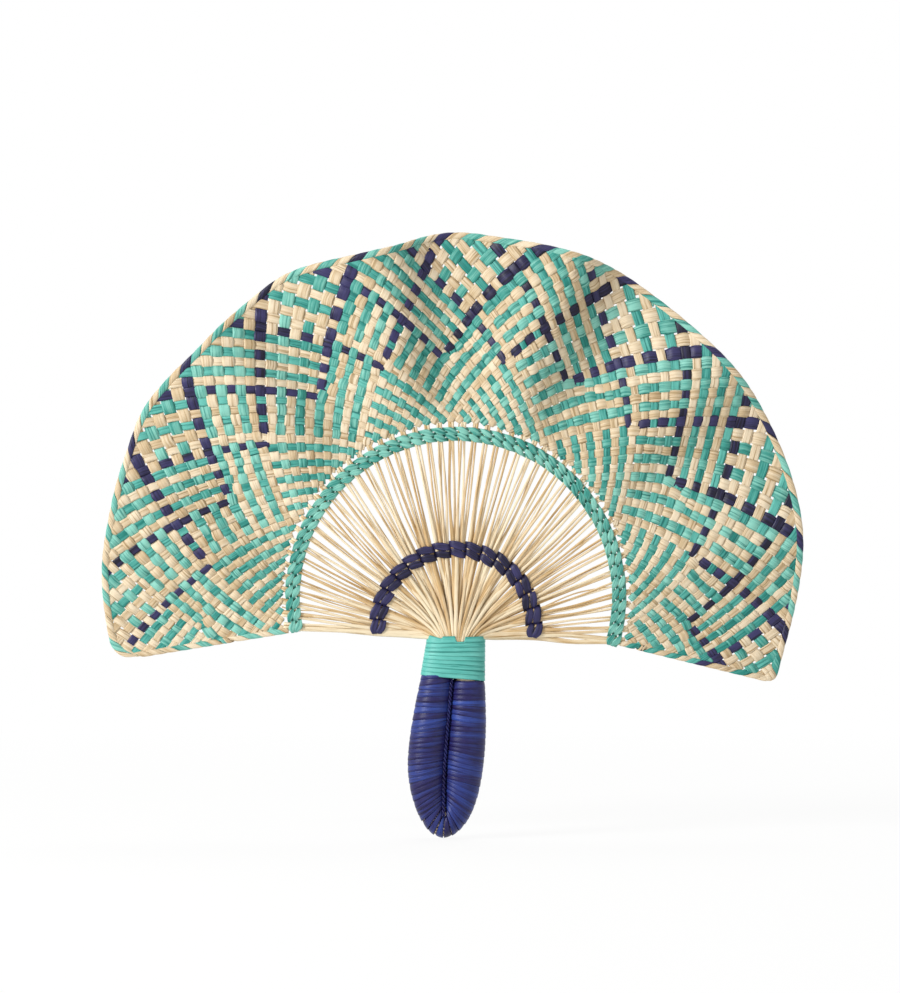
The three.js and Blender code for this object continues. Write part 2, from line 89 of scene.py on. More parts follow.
# %% [markdown]
# ## Materials
# Everything on this fan is palm leaf: split, flattened and dried, then left pale or boiled in dye.
# The leaf shows fine veins along its length, and each strip takes the dye a little differently.
# A picture of leaf could be wrapped round each strip, but noise needs no file and never repeats.
# So one recipe serves all: every strip carries where a point lies across and along it in
# millimetres, and a tone of its own. The veins come from noise stretched along the strip.

# %% One colour function and one node function
def linear(colour):
    """An sRGB hex colour as linear RGBA."""
    parts = [int(colour[at:at + 2], 16) / 255 for at in (1, 3, 5)]
    return [part / 12.92 if part <= 0.04045 else ((part + 0.055) / 1.055) ** 2.4 for part in parts] + [1]


def add_node(tree, kind, settings=(), links=()):
    """A node with its settings, and links from other nodes' outputs into its inputs."""
    node = tree.nodes.new(kind)
    for name, value in dict(settings).items():
        if isinstance(name, str) and hasattr(node, name):
            setattr(node, name, value)
        else:
            node.inputs[name].default_value = value
    for socket, output in dict(links).items():
        tree.links.new(output, node.inputs[socket])
    return node


print("a mid grey in linear light:", round(linear("#808080")[0], 3))

# %% Dried palm leaf, pale or dyed
# Real veins lie about 0.3 mm apart, too fine for this picture, so they are drawn three times as wide.
VEIN_SPACING = 0.9
VEIN_LENGTH = 30
VEIN_LINE = {"From Min": 0.44, "From Max": 0.32, "To Max": 0.8}
VEIN_BUMP = 0.4
VEIN_RELIEF = 0.4
BLOTCH_WIDTH = 4
BLOTCH_LENGTH = 9
WAXY_SHINE = 0.3


def palm_leaf(name, pale, deep, vein, roughness, veined=3.2, blotched=0.9):
    """Palm leaf strip, dried flat: a waxy skin with veins along it and uneven dye."""
    material = bpy.data.materials.new(name)
    material.use_nodes = True
    tree = material.node_tree
    shader = tree.nodes["Principled BSDF"]
    place = add_node(tree, "ShaderNodeAttribute", {"attribute_name": "fibre"}).outputs["Vector"]
    tone = add_node(tree, "ShaderNodeAttribute", {"attribute_name": "tone"}).outputs["Fac"]

    along_veins = add_node(tree, "ShaderNodeVectorMath", {
        "operation": "MULTIPLY", 1: (1 / VEIN_SPACING, 1 / VEIN_LENGTH, 1)}, {0: place}).outputs["Vector"]
    veins = add_node(tree, "ShaderNodeTexNoise", {
        "Scale": 1, "Detail": 3, "Roughness": 0.6}, {"Vector": along_veins}).outputs["Fac"]
    over_blotches = add_node(tree, "ShaderNodeVectorMath", {
        "operation": "MULTIPLY", 1: (1 / BLOTCH_WIDTH, 1 / BLOTCH_LENGTH, 1)}, {0: place}).outputs["Vector"]
    blotches = add_node(tree, "ShaderNodeTexNoise", {
        "Scale": 1, "Detail": 2}, {"Vector": over_blotches}).outputs["Fac"]

    by_vein = add_node(tree, "ShaderNodeMath", {
        "operation": "MULTIPLY_ADD", 1: -veined, 2: veined / 2}, {0: veins}).outputs["Value"]
    by_blotch = add_node(tree, "ShaderNodeMath", {
        "operation": "MULTIPLY_ADD", 1: blotched, 2: -blotched / 2}, {0: blotches}).outputs["Value"]
    spread = add_node(tree, "ShaderNodeMath", {
        "operation": "ADD"}, {0: by_vein, 1: by_blotch}).outputs["Value"]
    depth = add_node(tree, "ShaderNodeMath", {
        "operation": "ADD", "use_clamp": True}, {0: tone, 1: spread}).outputs["Value"]
    body = add_node(tree, "ShaderNodeMix", {
        "data_type": "RGBA", 6: linear(pale), 7: linear(deep)}, {0: depth}).outputs[2]
    line = add_node(tree, "ShaderNodeMapRange", VEIN_LINE, {"Value": veins}).outputs["Result"]
    colour = add_node(tree, "ShaderNodeMix", {
        "data_type": "RGBA", 7: linear(vein)}, {0: line, 6: body}).outputs[2]
    raised = add_node(tree, "ShaderNodeBump", {
        "Strength": VEIN_BUMP, "Distance": VEIN_RELIEF * MM}, {"Height": veins}).outputs["Normal"]

    shader.inputs["Roughness"].default_value = roughness
    shader.inputs["Specular IOR Level"].default_value = WAXY_SHINE
    tree.links.new(colour, shader.inputs["Base Color"])
    tree.links.new(raised, shader.inputs["Normal"])
    return material


finishes = {
    # Dried in the sun and left undyed: warm cream with browner veins, almost matt.
    "pale_leaf": palm_leaf("sun dried palm leaf", "#E8D6B9", "#CBB28C", "#977950", 0.6),
    # A short boil in green dye: the skin stays light, and the veins take more of it.
    "mint_leaf": palm_leaf("palm leaf dyed mint", "#88C9B9", "#3A9387", "#226B62", 0.55),
    # A longer boil: deeper, so that strips of one lean stand out from those of the other.
    "teal_leaf": palm_leaf("palm leaf dyed teal", "#62B6A9", "#238278", "#145B56", 0.55),
    # Dyed almost black: the veins hardly show, and the smooth skin has a soft shine.
    "navy_leaf": palm_leaf("palm leaf dyed navy", "#37345F", "#15122B", "#0E0C1E", 0.45),
    # Split from the rib of the leaf and dried: yellower, with brown lines along each straw.
    "straw": palm_leaf("split palm straw", "#F0DFBF", "#CFAD7B", "#93703F", 0.55),
    # Skin of the stalk, scraped flat and dyed: faint streaks, and a gloss along each turn.
    "neck_strip": palm_leaf("glossy teal palm strip", "#71C7BC", "#329C92", "#1F776F", 0.45, 1.2),
    # The same skin in navy: the dye goes from violet to bright blue from turn to turn.
    "grip_strip": palm_leaf("glossy navy palm strip", "#31499A", "#201B52", "#140F30", 0.42, 1.6),
}
print("materials:", ", ".join(material.name for material in finishes.values()))

# %% [markdown]
# ## One way to make a strip
# A strip is a row of sections along a path. A section is a thin curved leaf: it has a width, a
# thickness, and a crown that bulges to the side where the strip shows.
# A curve with a bevel could sweep one section, but here width, crown and tilt change at every
# crossing, so the sections are laid out as points and joined by faces, with a cap at each end.

# %% Sections to meshes
LEAF_EDGES = np.array([-1, -0.6, 0, 0.6, 1])
# How far apart two strips of a mesh lie in the noise, so that no two share their veins.
STRIPS_APART = 3.7


def leaf_sections(middle, across, facing, half_width, crown, thickness):
    """Rings of points of a thin leaf: its front from edge to edge, and its back the other way."""
    bulge = crown[:, None] * (1 - LEAF_EDGES ** 2)
    flat = middle[:, None] + across[:, None] * (half_width[:, None] * LEAF_EDGES)[..., None]
    front = flat + facing[:, None] * (bulge + thickness / 2)[..., None]
    back = flat + facing[:, None] * (bulge - thickness / 2)[..., None]
    return np.concatenate([front, back[:, ::-1]], axis=1)


def unit(vectors):
    """Vectors brought to length 1."""
    return vectors / np.linalg.norm(vectors, axis=-1, keepdims=True)


def ahead(path):
    """The direction of travel at each point of a path."""
    return unit(np.gradient(path, axis=0))


class Strips:
    """Strips of one finish, gathered into one mesh."""

    def __init__(self):
        self.points, self.faces, self.fibre, self.tone = [], [], [], []
        self.count = self.strips = 0

    def add(self, rings, spans, tone):
        """Joins rings of points. Spans say where each point lies across the strip, in mm."""
        steps, sides = rings.shape[:2]
        grid = self.count + np.arange(steps * sides).reshape(steps, sides)
        turned = np.roll(grid, -1, axis=1)
        quads = np.stack([grid[:-1], turned[:-1], turned[1:], grid[1:]], axis=-1).reshape(-1, 4)
        self.faces += quads.tolist() + [grid[0, ::-1].tolist(), grid[-1].tolist()]
        middles = rings.mean(axis=1)
        travelled = np.concatenate([[0], np.cumsum(np.linalg.norm(np.diff(middles, axis=0), axis=1))])
        fibre = np.empty((steps, sides, 3))
        fibre[..., 0] = spans
        fibre[..., 1] = travelled[:, None]
        fibre[..., 2] = STRIPS_APART * self.strips
        self.points.append(rings.reshape(-1, 3))
        self.fibre.append(fibre.reshape(-1, 3))
        self.tone.append(np.broadcast_to(tone, (steps, sides)).reshape(-1))
        self.count += steps * sides
        self.strips += 1

    def piece(self, name, finish, slot, *nodes):
        """The gathered strips as one object that stands for some CAD nodes."""
        mesh = bpy.data.meshes.new(name)
        mesh.from_pydata((np.concatenate(self.points) * MM).tolist(), [], self.faces)
        mesh.shade_smooth()
        fibre = mesh.attributes.new("fibre", "FLOAT_VECTOR", "POINT")
        fibre.data.foreach_set("vector", np.concatenate(self.fibre).reshape(-1))
        tone = mesh.attributes.new("tone", "FLOAT", "POINT")
        tone.data.foreach_set("value", np.concatenate(self.tone))
        mesh.materials.append(finishes[finish])
        thing = bpy.data.objects.new(name, mesh)
        bpy.context.collection.objects.link(thing)
        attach(thing, "root")
        if nodes:
            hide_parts(*nodes)
        print(f"{name}: {self.strips} strips, {len(mesh.polygons)} faces")


def leaf_spans(half_width):
    """Where each point of a leaf section lies across the strip, in mm."""
    return half_width[:, None] * np.concatenate([LEAF_EDGES, LEAF_EDGES[::-1]])


print(f"{2 * len(LEAF_EDGES)} points in a section of leaf")

# %% [markdown]
# ## The blade's surface
# The blade is a half ring that swings to and fro in ruffles, as the CAD model has it: each ruffle
# falls steeply from a ridge and climbs slowly to the next. Its rim draws in towards the ends and
# waves a little. A sheet could be sculpted or simulated, but every strip has to find its place on
# it, so the surface is a function that gives a point for an angle and a distance from the centre.

# %% Outline of the blade
BLADE_CENTRE = 76
RIM_RADIUS = 186
RIM_DRAW_IN = {"left": 13, "right": 21}
BLADE_ENDS = {"left": 189.3, "right": -13.7}
CORNER_RADIUS = {"left": 10, "right": 4}
OUTER_BAND_CENTRE = 80
BLADE_INNER_RADIUS = 85.5
RIM_WAVES = (
    (-14, -1.2), (-9, -3.2), (-5, -3.4), (2, -2.5), (12, -0.5), (36, -0.8), (49, -2.9), (56, -2),
    (62, 0), (68, 0), (77, -1.2), (83, -1.4), (88, 0.8), (93, -0.3), (100, -4.6), (107, -4.6),
    (117, 0.8), (125, -1.8), (136, -3.6), (148, 1.5), (155, -0.8), (166, -1.8), (174, -0.3), (190, -0.3))
WAVE_EASING = 2


def rim_radius(angle):
    """How far out the rim lies."""
    middle = (BLADE_ENDS["left"] + BLADE_ENDS["right"]) / 2
    on_left = angle > middle
    end = np.where(on_left, BLADE_ENDS["left"], BLADE_ENDS["right"])
    draw_in = np.where(on_left, RIM_DRAW_IN["left"], RIM_DRAW_IN["right"])
    corner = np.where(on_left, CORNER_RADIUS["left"], CORNER_RADIUS["right"])
    smooth_rim = RIM_RADIUS - draw_in * np.abs((angle - middle) / (end - middle)) ** 3
    waves = [np.interp(angle + shift, *zip(*RIM_WAVES)) for shift in (-WAVE_EASING, 0, WAVE_EASING)]
    smooth_rim = smooth_rim + np.mean(waves, axis=0)
    from_end = np.radians(np.abs(end - angle)) * smooth_rim
    into = np.clip(1 - from_end / corner, 0, 1)
    return smooth_rim - corner * (1 - np.sqrt(1 - into * into))


def inner_radius(angle):
    """How far out the inner edge lies, a circle round the centre of the outer band."""
    offset = OUTER_BAND_CENTRE - BLADE_CENTRE
    across = offset * np.cos(np.radians(angle))
    return offset * np.sin(np.radians(angle)) + np.sqrt(BLADE_INNER_RADIUS ** 2 - across ** 2)


print(f"at the top the rim lies {rim_radius(90.0):.1f} mm out, the inner edge {inner_radius(90.0):.1f} mm")

# %% Ruffled surface
RUFFLE_PERIOD = 31
RUFFLE_RIDGE_ANGLE = 104
RUFFLE_FALL_SHARE = 0.40
RUFFLE_HEIGHTS = (2.8, 8)
RUFFLE_MOST_ANGLE = 76
RUFFLE_SPREAD_ANGLE = 42
RUFFLE_GROWTH_SHARE = 0.6
RUFFLE_CROWDING = 1.2
RUFFLE_CROWDED = (0.45, 0.9)
NEAR_ANGLE, NEAR_STEP = 0.3, 0.5


def smooth(low, high, value):
    """From 0 at low to 1 at high, eased at both."""
    share = np.clip((value - low) / (high - low), 0, 1)
    return share * share * (3 - 2 * share)


def blade_point(angle, radius):
    """Points of the ruffled surface."""
    inner = inner_radius(angle)
    share = np.clip((radius - inner) / (rim_radius(angle) - inner), 0, 1)
    along = np.mod((RUFFLE_RIDGE_ANGLE - angle) / RUFFLE_PERIOD, 1)
    falling = np.cos(np.pi * along / RUFFLE_FALL_SHARE)
    rising = -np.cos(np.pi * (along - RUFFLE_FALL_SHARE) / (1 - RUFFLE_FALL_SHARE))
    wave = np.where(along < RUFFLE_FALL_SHARE, falling, rising)
    nearness = np.exp(-((angle - RUFFLE_MOST_ANGLE) / RUFFLE_SPREAD_ANGLE) ** 2)
    height = RUFFLE_HEIGHTS[0] + (RUFFLE_HEIGHTS[1] - RUFFLE_HEIGHTS[0]) * nearness
    growth = np.sin(np.pi / 2 * np.minimum(1, share / RUFFLE_GROWTH_SHARE))
    crowd = RUFFLE_CROWDING * nearness * smooth(*RUFFLE_CROWDED, share)
    turn = np.radians(angle - crowd * np.sin(2 * np.pi * (RUFFLE_FALL_SHARE / 2 - along)))
    return np.stack([
        radius * np.cos(turn), -height * growth * wave, BLADE_CENTRE + radius * np.sin(turn)], axis=-1)


def blade_facing(angle, radius):
    """Directions that stand square on the ruffled surface, towards the front."""
    round_it = blade_point(angle - NEAR_ANGLE, radius) - blade_point(angle + NEAR_ANGLE, radius)
    outward = blade_point(angle, radius + NEAR_STEP) - blade_point(angle, radius - NEAR_STEP)
    return unit(np.cross(round_it, outward))


top = blade_point(np.array(90.0), np.array(RIM_RADIUS))
print("a point at the top of the rim, in mm:", top.round(1), "facing", blade_facing(90.0, 180.0).round(2))

# %% [markdown]
# ## How the strips run
# The weave is on the bias, and the strips widen from the band to the rim. Strips of one width would
# leave the rim open. Seen by angle and by the logarithm of the distance, these lie in an even grid:
# one family of strips leans right going out, the other leans left, a little more than the first.
# Pale and teal strips take turns, except that two pale ones meet once in each period, which turns
# the teal bars from one slant to the other. Part of the way out, folded navy strips join in as Vs,
# two for each period, and the others make room for them. The Vs sink a little at the right end,
# and at the left end the strips of the first family crowd together.

# %% Order of the strips in a period
V_ANGLES = (171, 155, 139.8, 123, 107, 93, 79, 64, 45.5, 31.5, 11.4, -4.5)
V_RADIUS = 124
V_SINK = 0.0075
V_SINK_FROM = 8
MAKE_ROOM = (-0.02, 0.055)
STRIP_ORDER = {1: "APTPTPBTPTPTP", -1: "APPTPTBPTPTPT"}
TILT = {1: 0.78, -1: 0.98}
NAVY_SLOTS = (0, 6)
CROWDED_FROM = -0.9
CROWDING = 0.75
PERIODS = range(-2, 9)
HALF_PERIOD = (V_ANGLES[0] - V_ANGLES[-1]) / (len(V_ANGLES) - 1)
GRID = 1 / math.radians(HALF_PERIOD)
SLOTS = len(STRIP_ORDER[1])
BASE_SLOTS = SLOTS - len(NAVY_SLOTS)


def spread_angle(halves):
    """The angle for a place counted in half periods, eased between one V and the next."""
    counts = np.arange(-4, len(V_ANGLES) + 4)
    inside = np.clip(counts, 0, len(V_ANGLES) - 1)
    knots = np.array(V_ANGLES)[inside] - (counts - inside) * HALF_PERIOD
    eased = [np.interp(halves + shift, counts, knots) for shift in (-0.5, -0.25, 0, 0.25, 0.5)]
    return np.mean(eased, axis=0)


class Family:
    """The strips that lean one way: +1 to the right going out, -1 to the left."""

    def __init__(self, lean):
        self.lean = lean
        period, slot = np.meshgrid(PERIODS, range(SLOTS), indexing="ij")
        period, slot = period.reshape(-1), slot.reshape(-1)
        self.kind = np.array(list(STRIP_ORDER[lean]))[slot]
        self.navy = np.isin(slot, NAVY_SLOTS)
        self.period, self.past_second = period, (slot > NAVY_SLOTS[1]).astype(int)
        base = slot - 1 - self.past_second
        self.order = BASE_SLOTS * period + base
        self.full_order = SLOTS * period + slot
        self.above = 2 * period + np.interp(slot, (0, NAVY_SLOTS[1], SLOTS), (0, 1, 2))
        below = 2 * period + (base + 0.5) / (BASE_SLOTS / 2)
        self.below = np.where(self.navy, self.above, below)
        self.crowd = np.where((self.above < CROWDED_FROM) & (lean > 0), CROWDING, 1)
        for place in (self.above, self.below):
            place[:] = np.where(self.crowd < 1, CROWDED_FROM + CROWDING * (place - CROWDED_FROM), place)

    def base(self, rise, strip=slice(None)):
        """Where strips would meet the circle of the Vs, as seen from some way in or out."""
        return self.below[strip] + (self.above[strip] - self.below[strip]) * smooth(*MAKE_ROOM, rise)

    def place(self, rise, strip=slice(None)):
        """How many half periods along the blade a place on a strip is, its angle and its radius."""
        halves = self.base(rise, strip) + self.lean * TILT[self.lean] * GRID * rise
        sink = V_SINK * np.maximum(0, halves - V_SINK_FROM) ** 2
        return halves, spread_angle(halves), V_RADIUS * np.exp(rise - sink)


right, left = Family(1), Family(-1)
print(f"{SLOTS} strips of each family in a period of {2 * HALF_PERIOD:.1f} degrees")

# %% [markdown]
# ## Where the strips cross, and which is on top
# Each strip of one family meets each strip of the other once. The place follows from the grid, and
# a few rounds settle how much room the navy strips take there.
# In a plain weave a strip goes over one and under the next, so the sum of two strips' numbers says
# which is on top. Each V that lies below a crossing adds one navy strip to the count.

# %% Crossings of the two families
SETTLING_ROUNDS = 12


def column(values):
    """One value for each row of a table, to meet others along its columns."""
    return values[:, None]


rise = np.zeros((len(right.kind), len(left.kind)))
for _ in range(SETTLING_ROUNDS):
    rise = (left.base(rise) - right.base(rise.T).T) / (GRID * (TILT[1] + TILT[-1]))
_, cross_angle, cross_radius = left.place(rise)
print(f"{rise.size} places where two strips would meet")

# %% Crossings on the blade, and which strip is on top
EDGE_CLEAR = 0.6
V_CLEAR = 0.004


def edge_distance(angle, radius):
    """How far a place on the blade lies inside its rim, its inner edge and its two lower edges."""
    to_rim = rim_radius(np.clip(angle, BLADE_ENDS["right"], BLADE_ENDS["left"])) - radius
    to_sides = np.minimum(BLADE_ENDS["left"] - angle, angle - BLADE_ENDS["right"])
    return to_rim, radius - inner_radius(angle), np.radians(to_sides) * radius


inside = np.min(edge_distance(cross_angle, cross_radius), axis=0) > EDGE_CLEAR
any_navy = column(right.navy) | left.navy[None]
inside &= ~any_navy | (rise > V_CLEAR)

apart = left.period[None] - column(right.period)
past = left.past_second[None] - column(right.past_second)
vs_below = np.maximum(0, apart) + np.maximum(0, apart + past)
plain = column(right.order) + left.order[None] + vs_below
counted = column(right.full_order) + left.full_order[None]
right_on_top = np.where(any_navy, counted, plain) % 2 == 0
share_on_top = right_on_top[inside].mean()
print(f"{inside.sum()} crossings, {100 * share_on_top:.0f}% with the right-leaning strip on top")

# %% [markdown]
# ## Woven strips
# A sheet with a painted weave would be lighter, but it has no strip edges, no holes and no dives
# to catch the light. So every strip is laid by itself.
# Between two crossings a strip passes from front to back. It is widest and bulges most where it
# lies on top, which gives the pillowed look of plaited leaf, and it is drawn in where it dives.
# Each strip also gets a slightly different width and tone, as hand-split leaf has. Its corners are
# cut back where they would stick out past an edge of the blade.

# %% Finish, spacing and cut of a strip
FIRST_V, LAST_V = -0.1, 12.1
TRIM = 0.2


def finish_of(family, strip):
    """Pale, dyed teal, or navy. Navy strips start only from a V of their own."""
    if family.navy[strip]:
        return "navy_leaf" if FIRST_V <= family.above[strip] <= LAST_V else "pale_leaf"
    teal = "mint_leaf" if family.lean > 0 else "teal_leaf"
    return "pale_leaf" if family.kind[strip] == "P" else teal


def strip_spacing(family, strip, halves, angle, radius, here):
    """How far apart the strips of a family lie on the ruffled surface, square to their run."""
    arc = blade_point(angle - NEAR_ANGLE, radius) - blade_point(angle + NEAR_ANGLE, radius)
    stretch = np.linalg.norm(arc, axis=-1) / (radius * math.radians(2 * NEAR_ANGLE))
    half = stretch * np.radians(spread_angle(halves - 0.25) - spread_angle(halves + 0.25)) / 0.5
    slots = BASE_SLOTS + (SLOTS - BASE_SLOTS) * smooth(*MAKE_ROOM, here)
    return family.crowd[strip] * radius * 2 * half / slots / np.hypot(1, TILT[family.lean] * GRID * half)


def trimmed(rings):
    """Points that stick out past the rim or a lower edge, cut back to it."""
    x, z = rings[..., 0], rings[..., 2] - BLADE_CENTRE
    radius = np.hypot(x, z)
    angle = np.mod(np.degrees(np.arctan2(z, x)) + 90, 360) - 90
    spare = np.degrees(TRIM / radius)
    angle = np.clip(angle, BLADE_ENDS["right"] + spare, BLADE_ENDS["left"] - spare)
    radius = np.minimum(radius, rim_radius(angle) - TRIM)
    turn = np.radians(angle)
    return np.stack([radius * np.cos(turn), rings[..., 1], BLADE_CENTRE + radius * np.sin(turn)], axis=-1)


used = {finish_of(family, strip) for family in (right, left) for strip in range(len(family.kind))}
print("finishes in the weave:", sorted(used))

# %% One strip through its crossings
LEAF_THICKNESS = 0.3
STEPS_PER_CROSSING = 5
# For each lean: half a strip's width as a share of the spacing, and how much it swells on top.
WIDTHS = {1: (0.485, 0.025), -1: (0.415, 0.0)}
WIDTH_RANGE = (0.94, 1.04)
TONE_RANGE = (0.1, 0.9)
STRAY = {"path": 0.035, "width": 0.015, "tone": 0.12}
HEIGHTS = {1: 0.09, -1: 0.055}
CROWNS = {1: 0.06, -1: 0.035}
DIVE = (0.05, 0.95)
RUN_ON = 0.95
RIM_MARGIN = 1
FLAT_AT_RIM = 5
RELIEF_AT_RIM = 0.35
# A navy strip that starts near its V has a narrow tip, on the front or behind.
V_REACH = 3
V_TIP = {1: 0.4, -1: 1.05}
V_TIP_SIDE = {1: -1, -1: 0.9}
V_TIP_WIDTH = 0.7
V_TIP_LENGTH = 0.6
START_BEYOND_BAND = 1.5
CORNER_CLEAR = 7


def wander(count, knots, spread):
    """A quantity that changes a little from crossing to crossing."""
    return np.interp(count, np.arange(knots), chance.normal(0, spread, knots))


def woven_strip(family, strip, rises, on_top):
    """Rings of one strip through its crossings, from the band outwards."""
    gap = np.median(np.diff(rises))
    from_v = family.navy[strip] and rises[0] < V_REACH * gap
    start = rises[0] - gap * (V_TIP[family.lean] if from_v else RUN_ON)
    rises = np.concatenate([[start], rises, [rises[-1] + RUN_ON * gap]])
    first_side = V_TIP_SIDE[family.lean] if from_v else 0
    side = np.concatenate([[first_side], np.where(on_top, 1.0, -1.0), [0]])
    knots = len(rises)
    count = np.arange(0, knots - 1 + 1e-6, 1 / STEPS_PER_CROSSING)
    step = np.minimum(count.astype(int), knots - 2)
    part = count - step
    here = rises[step] + (rises[step + 1] - rises[step]) * part
    halves, angle, radius = family.place(here, strip)
    to_rim, to_band, to_sides = edge_distance(angle, radius)
    to_edge = np.minimum(to_rim, to_sides)
    kept = np.minimum(to_edge - RIM_MARGIN, to_band - START_BEYOND_BAND) > 0
    kept &= to_rim + to_sides > CORNER_CLEAR
    lift = side[step] + (side[step + 1] - side[step]) * smooth(*DIVE, part)
    spacing = strip_spacing(family, strip, halves, angle, radius, here)
    flattened = RELIEF_AT_RIM + (1 - RELIEF_AT_RIM) * smooth(RIM_MARGIN, FLAT_AT_RIM, to_edge)
    relief = spacing * lift * flattened

    surface, facing = blade_point(angle, radius), blade_facing(angle, radius)
    across = unit(np.cross(facing, ahead(surface)))
    aside = spacing * wander(count, knots, STRAY["path"])
    middle = surface + across * aside[:, None] + facing * (HEIGHTS[family.lean] * relief)[:, None]
    broad, swell = WIDTHS[family.lean]
    broad = broad + swell * lift + wander(count, knots, STRAY["width"])
    half_width = spacing * broad * chance.uniform(*WIDTH_RANGE)
    if from_v:
        half_width *= V_TIP_WIDTH + (1 - V_TIP_WIDTH) * smooth(0, V_TIP_LENGTH, count)
    tone = chance.uniform(*TONE_RANGE) + wander(count, knots, STRAY["tone"])
    rings = leaf_sections(middle, across, facing, half_width, CROWNS[family.lean] * relief, LEAF_THICKNESS)
    return trimmed(rings[kept]), leaf_spans(half_width)[kept], tone[kept, None]


print(f"{STEPS_PER_CROSSING} rings from one crossing to the next")

# %% Lay all strips, one mesh for each finish and lean
woven = {}
for way, family, met_by, rises_of, tops in (
        ("right", right, inside, rise, right_on_top), ("left", left, inside.T, rise.T, ~right_on_top.T)):
    for strip in range(len(family.kind)):
        met = np.flatnonzero(met_by[strip])
        if len(met) < 2:
            continue
        met = met[np.argsort(rises_of[strip, met])]
        rings, spans, tone = woven_strip(family, strip, rises_of[strip, met], tops[strip, met])
        if len(rings) > STEPS_PER_CROSSING:
            woven.setdefault((finish_of(family, strip), way), Strips()).add(rings, spans, tone)

for (finish, way), pile in woven.items():
    pile.piece(f"blade_{finish}_{way}", finish, "woven_palm", "woven_blade")

# %% [markdown]
# ## Folded edges
# At the rim each right-leaning strip turns over the edge and back down behind, so the rim looks
# like a flat rope. At the two lower edges the strips that set out from there do the same, and the
# rim's folds are broader near the corners. A tube would hide the ends of the strips too, but it
# would look like a hem. So a strip here is wound round the edge: on the front it goes from inside
# to the edge while it moves along, and on the back it returns. Its path is a flat spiral.

# %% Spiral folds along an edge
FOLD_CROWN = 0.2
FOLD_STEPS = 24
FOLD_OPENING = 0.05
FOLD_COVER = 0.49
FOLD_STRETCH = 0.8


def along(way, ways, values):
    """Points or directions at some ways along an edge."""
    return np.stack([np.interp(way, ways, values[:, axis]) for axis in range(3)], axis=-1)


def wind_edge(line, inward, facing, reach, half_thickness, slant, arrivals, piles):
    """Winds strips round an edge, one for each that arrives there."""
    ways = np.concatenate([[0], np.cumsum(np.linalg.norm(np.diff(line, axis=0), axis=1))])
    turn = np.linspace(FOLD_OPENING, 2 * np.pi - FOLD_OPENING, FOLD_STEPS)
    places = [float(np.interp(share, np.linspace(0, 1, len(ways)), ways)) for share, _ in arrivals]
    finish_names = [finish for _, finish in arrivals]
    step = float(np.median(np.diff(places)))
    while places[0] > FOLD_STRETCH * step:
        places.insert(0, places[0] - step)
        finish_names.insert(0, "pale_leaf")
    while places[-1] < ways[-1] - FOLD_STRETCH * step:
        places.append(places[-1] + step)
        finish_names.append("pale_leaf")
    for number, finish in enumerate(finish_names):
        pitch = places[min(number + 1, len(places) - 1)] - places[max(number - 1, 0)]
        pitch /= 2 if 0 < number < len(places) - 1 else 1
        layers = []
        for lift in (LEAF_THICKNESS, 0):
            for edge in LEAF_EDGES if lift else LEAF_EDGES[::-1]:
                way = places[number] + slant * pitch * (turn / np.pi - 0.5) + FOLD_COVER * pitch * edge
                bulge = FOLD_CROWN * (1 - edge ** 2) + lift
                deep = (np.interp(way, ways, reach) / 2 + bulge) * (1 + np.cos(turn)) - bulge
                front = (half_thickness + bulge) * np.sin(turn)
                layers.append(
                    along(way, ways, line) + along(way, ways, inward) * deep[:, None]
                    + along(way, ways, facing) * front[:, None])
        width = np.full(FOLD_STEPS, pitch / 2 * reach[0] / math.hypot(reach[0], slant * pitch))
        tone = chance.uniform(*TONE_RANGE)
        piles.setdefault(finish, Strips()).add(np.stack(layers, axis=1), leaf_spans(width), tone)


print(f"{FOLD_STEPS} rings for each fold")

# %% Which strips reach which edge
EDGE_SAMPLES = 1200
EDGE_PART = (0.004, 0.985)
CLIMB_SPAN = (-0.42, 0.5)
CLIMB_STEPS = 1800

climb = np.linspace(*CLIMB_SPAN, CLIMB_STEPS)
rim_angles = np.linspace(BLADE_ENDS["left"], BLADE_ENDS["right"], EDGE_SAMPLES)
edges = {"rim": (right, rim_angles, rim_radius(rim_angles))}
for side, family in (("left", right), ("right", left)):
    angle = np.full(EDGE_SAMPLES, float(BLADE_ENDS[side]))
    ends = float(inner_radius(angle[0])), float(rim_radius(angle[0]))
    edges[side] = (family, angle, np.linspace(*ends, EDGE_SAMPLES))


def arrivals_at(edge):
    """The share of the way along an edge, and the finish, of each strip that reaches it."""
    family, angles, radii = edges[edge]
    found = []
    for strip in range(len(family.kind)):
        _, angle, radius = family.place(climb, strip)
        to_rim, to_band, to_sides = edge_distance(angle, radius)
        out = to_rim if edge == "rim" else to_sides
        within = np.flatnonzero((to_rim > 0) & (to_sides > 0) & (to_band > 0))
        if not len(within):
            continue
        at, beyond = (within[-1], within[-1] + 1) if edge == "rim" else (within[0], within[0] - 1)
        if 0 <= beyond < len(climb) and out[beyond] <= 0:
            if edge == "rim":
                share = np.interp(-angle[at], -angles, np.linspace(0, 1, EDGE_SAMPLES))
            else:
                share = np.interp(radius[at], radii, np.linspace(0, 1, EDGE_SAMPLES))
            if EDGE_PART[0] < share < EDGE_PART[1]:
                found.append((float(share), finish_of(family, strip)))
    return sorted(found)


print("edges:", ", ".join(f"{edge} with {len(arrivals_at(edge))} strips" for edge in edges))

# %% Fold the strips over
# How far in a fold reaches, half its thickness, and how far it moves along on the way.
FOLDS = {"rim": (2.7, 0.6, 0.8), "left": (2.2, 0.5, -0.9), "right": (2.2, 0.5, -0.9)}
CORNER_REACH = 2.3
CORNER_ANGLE = 5

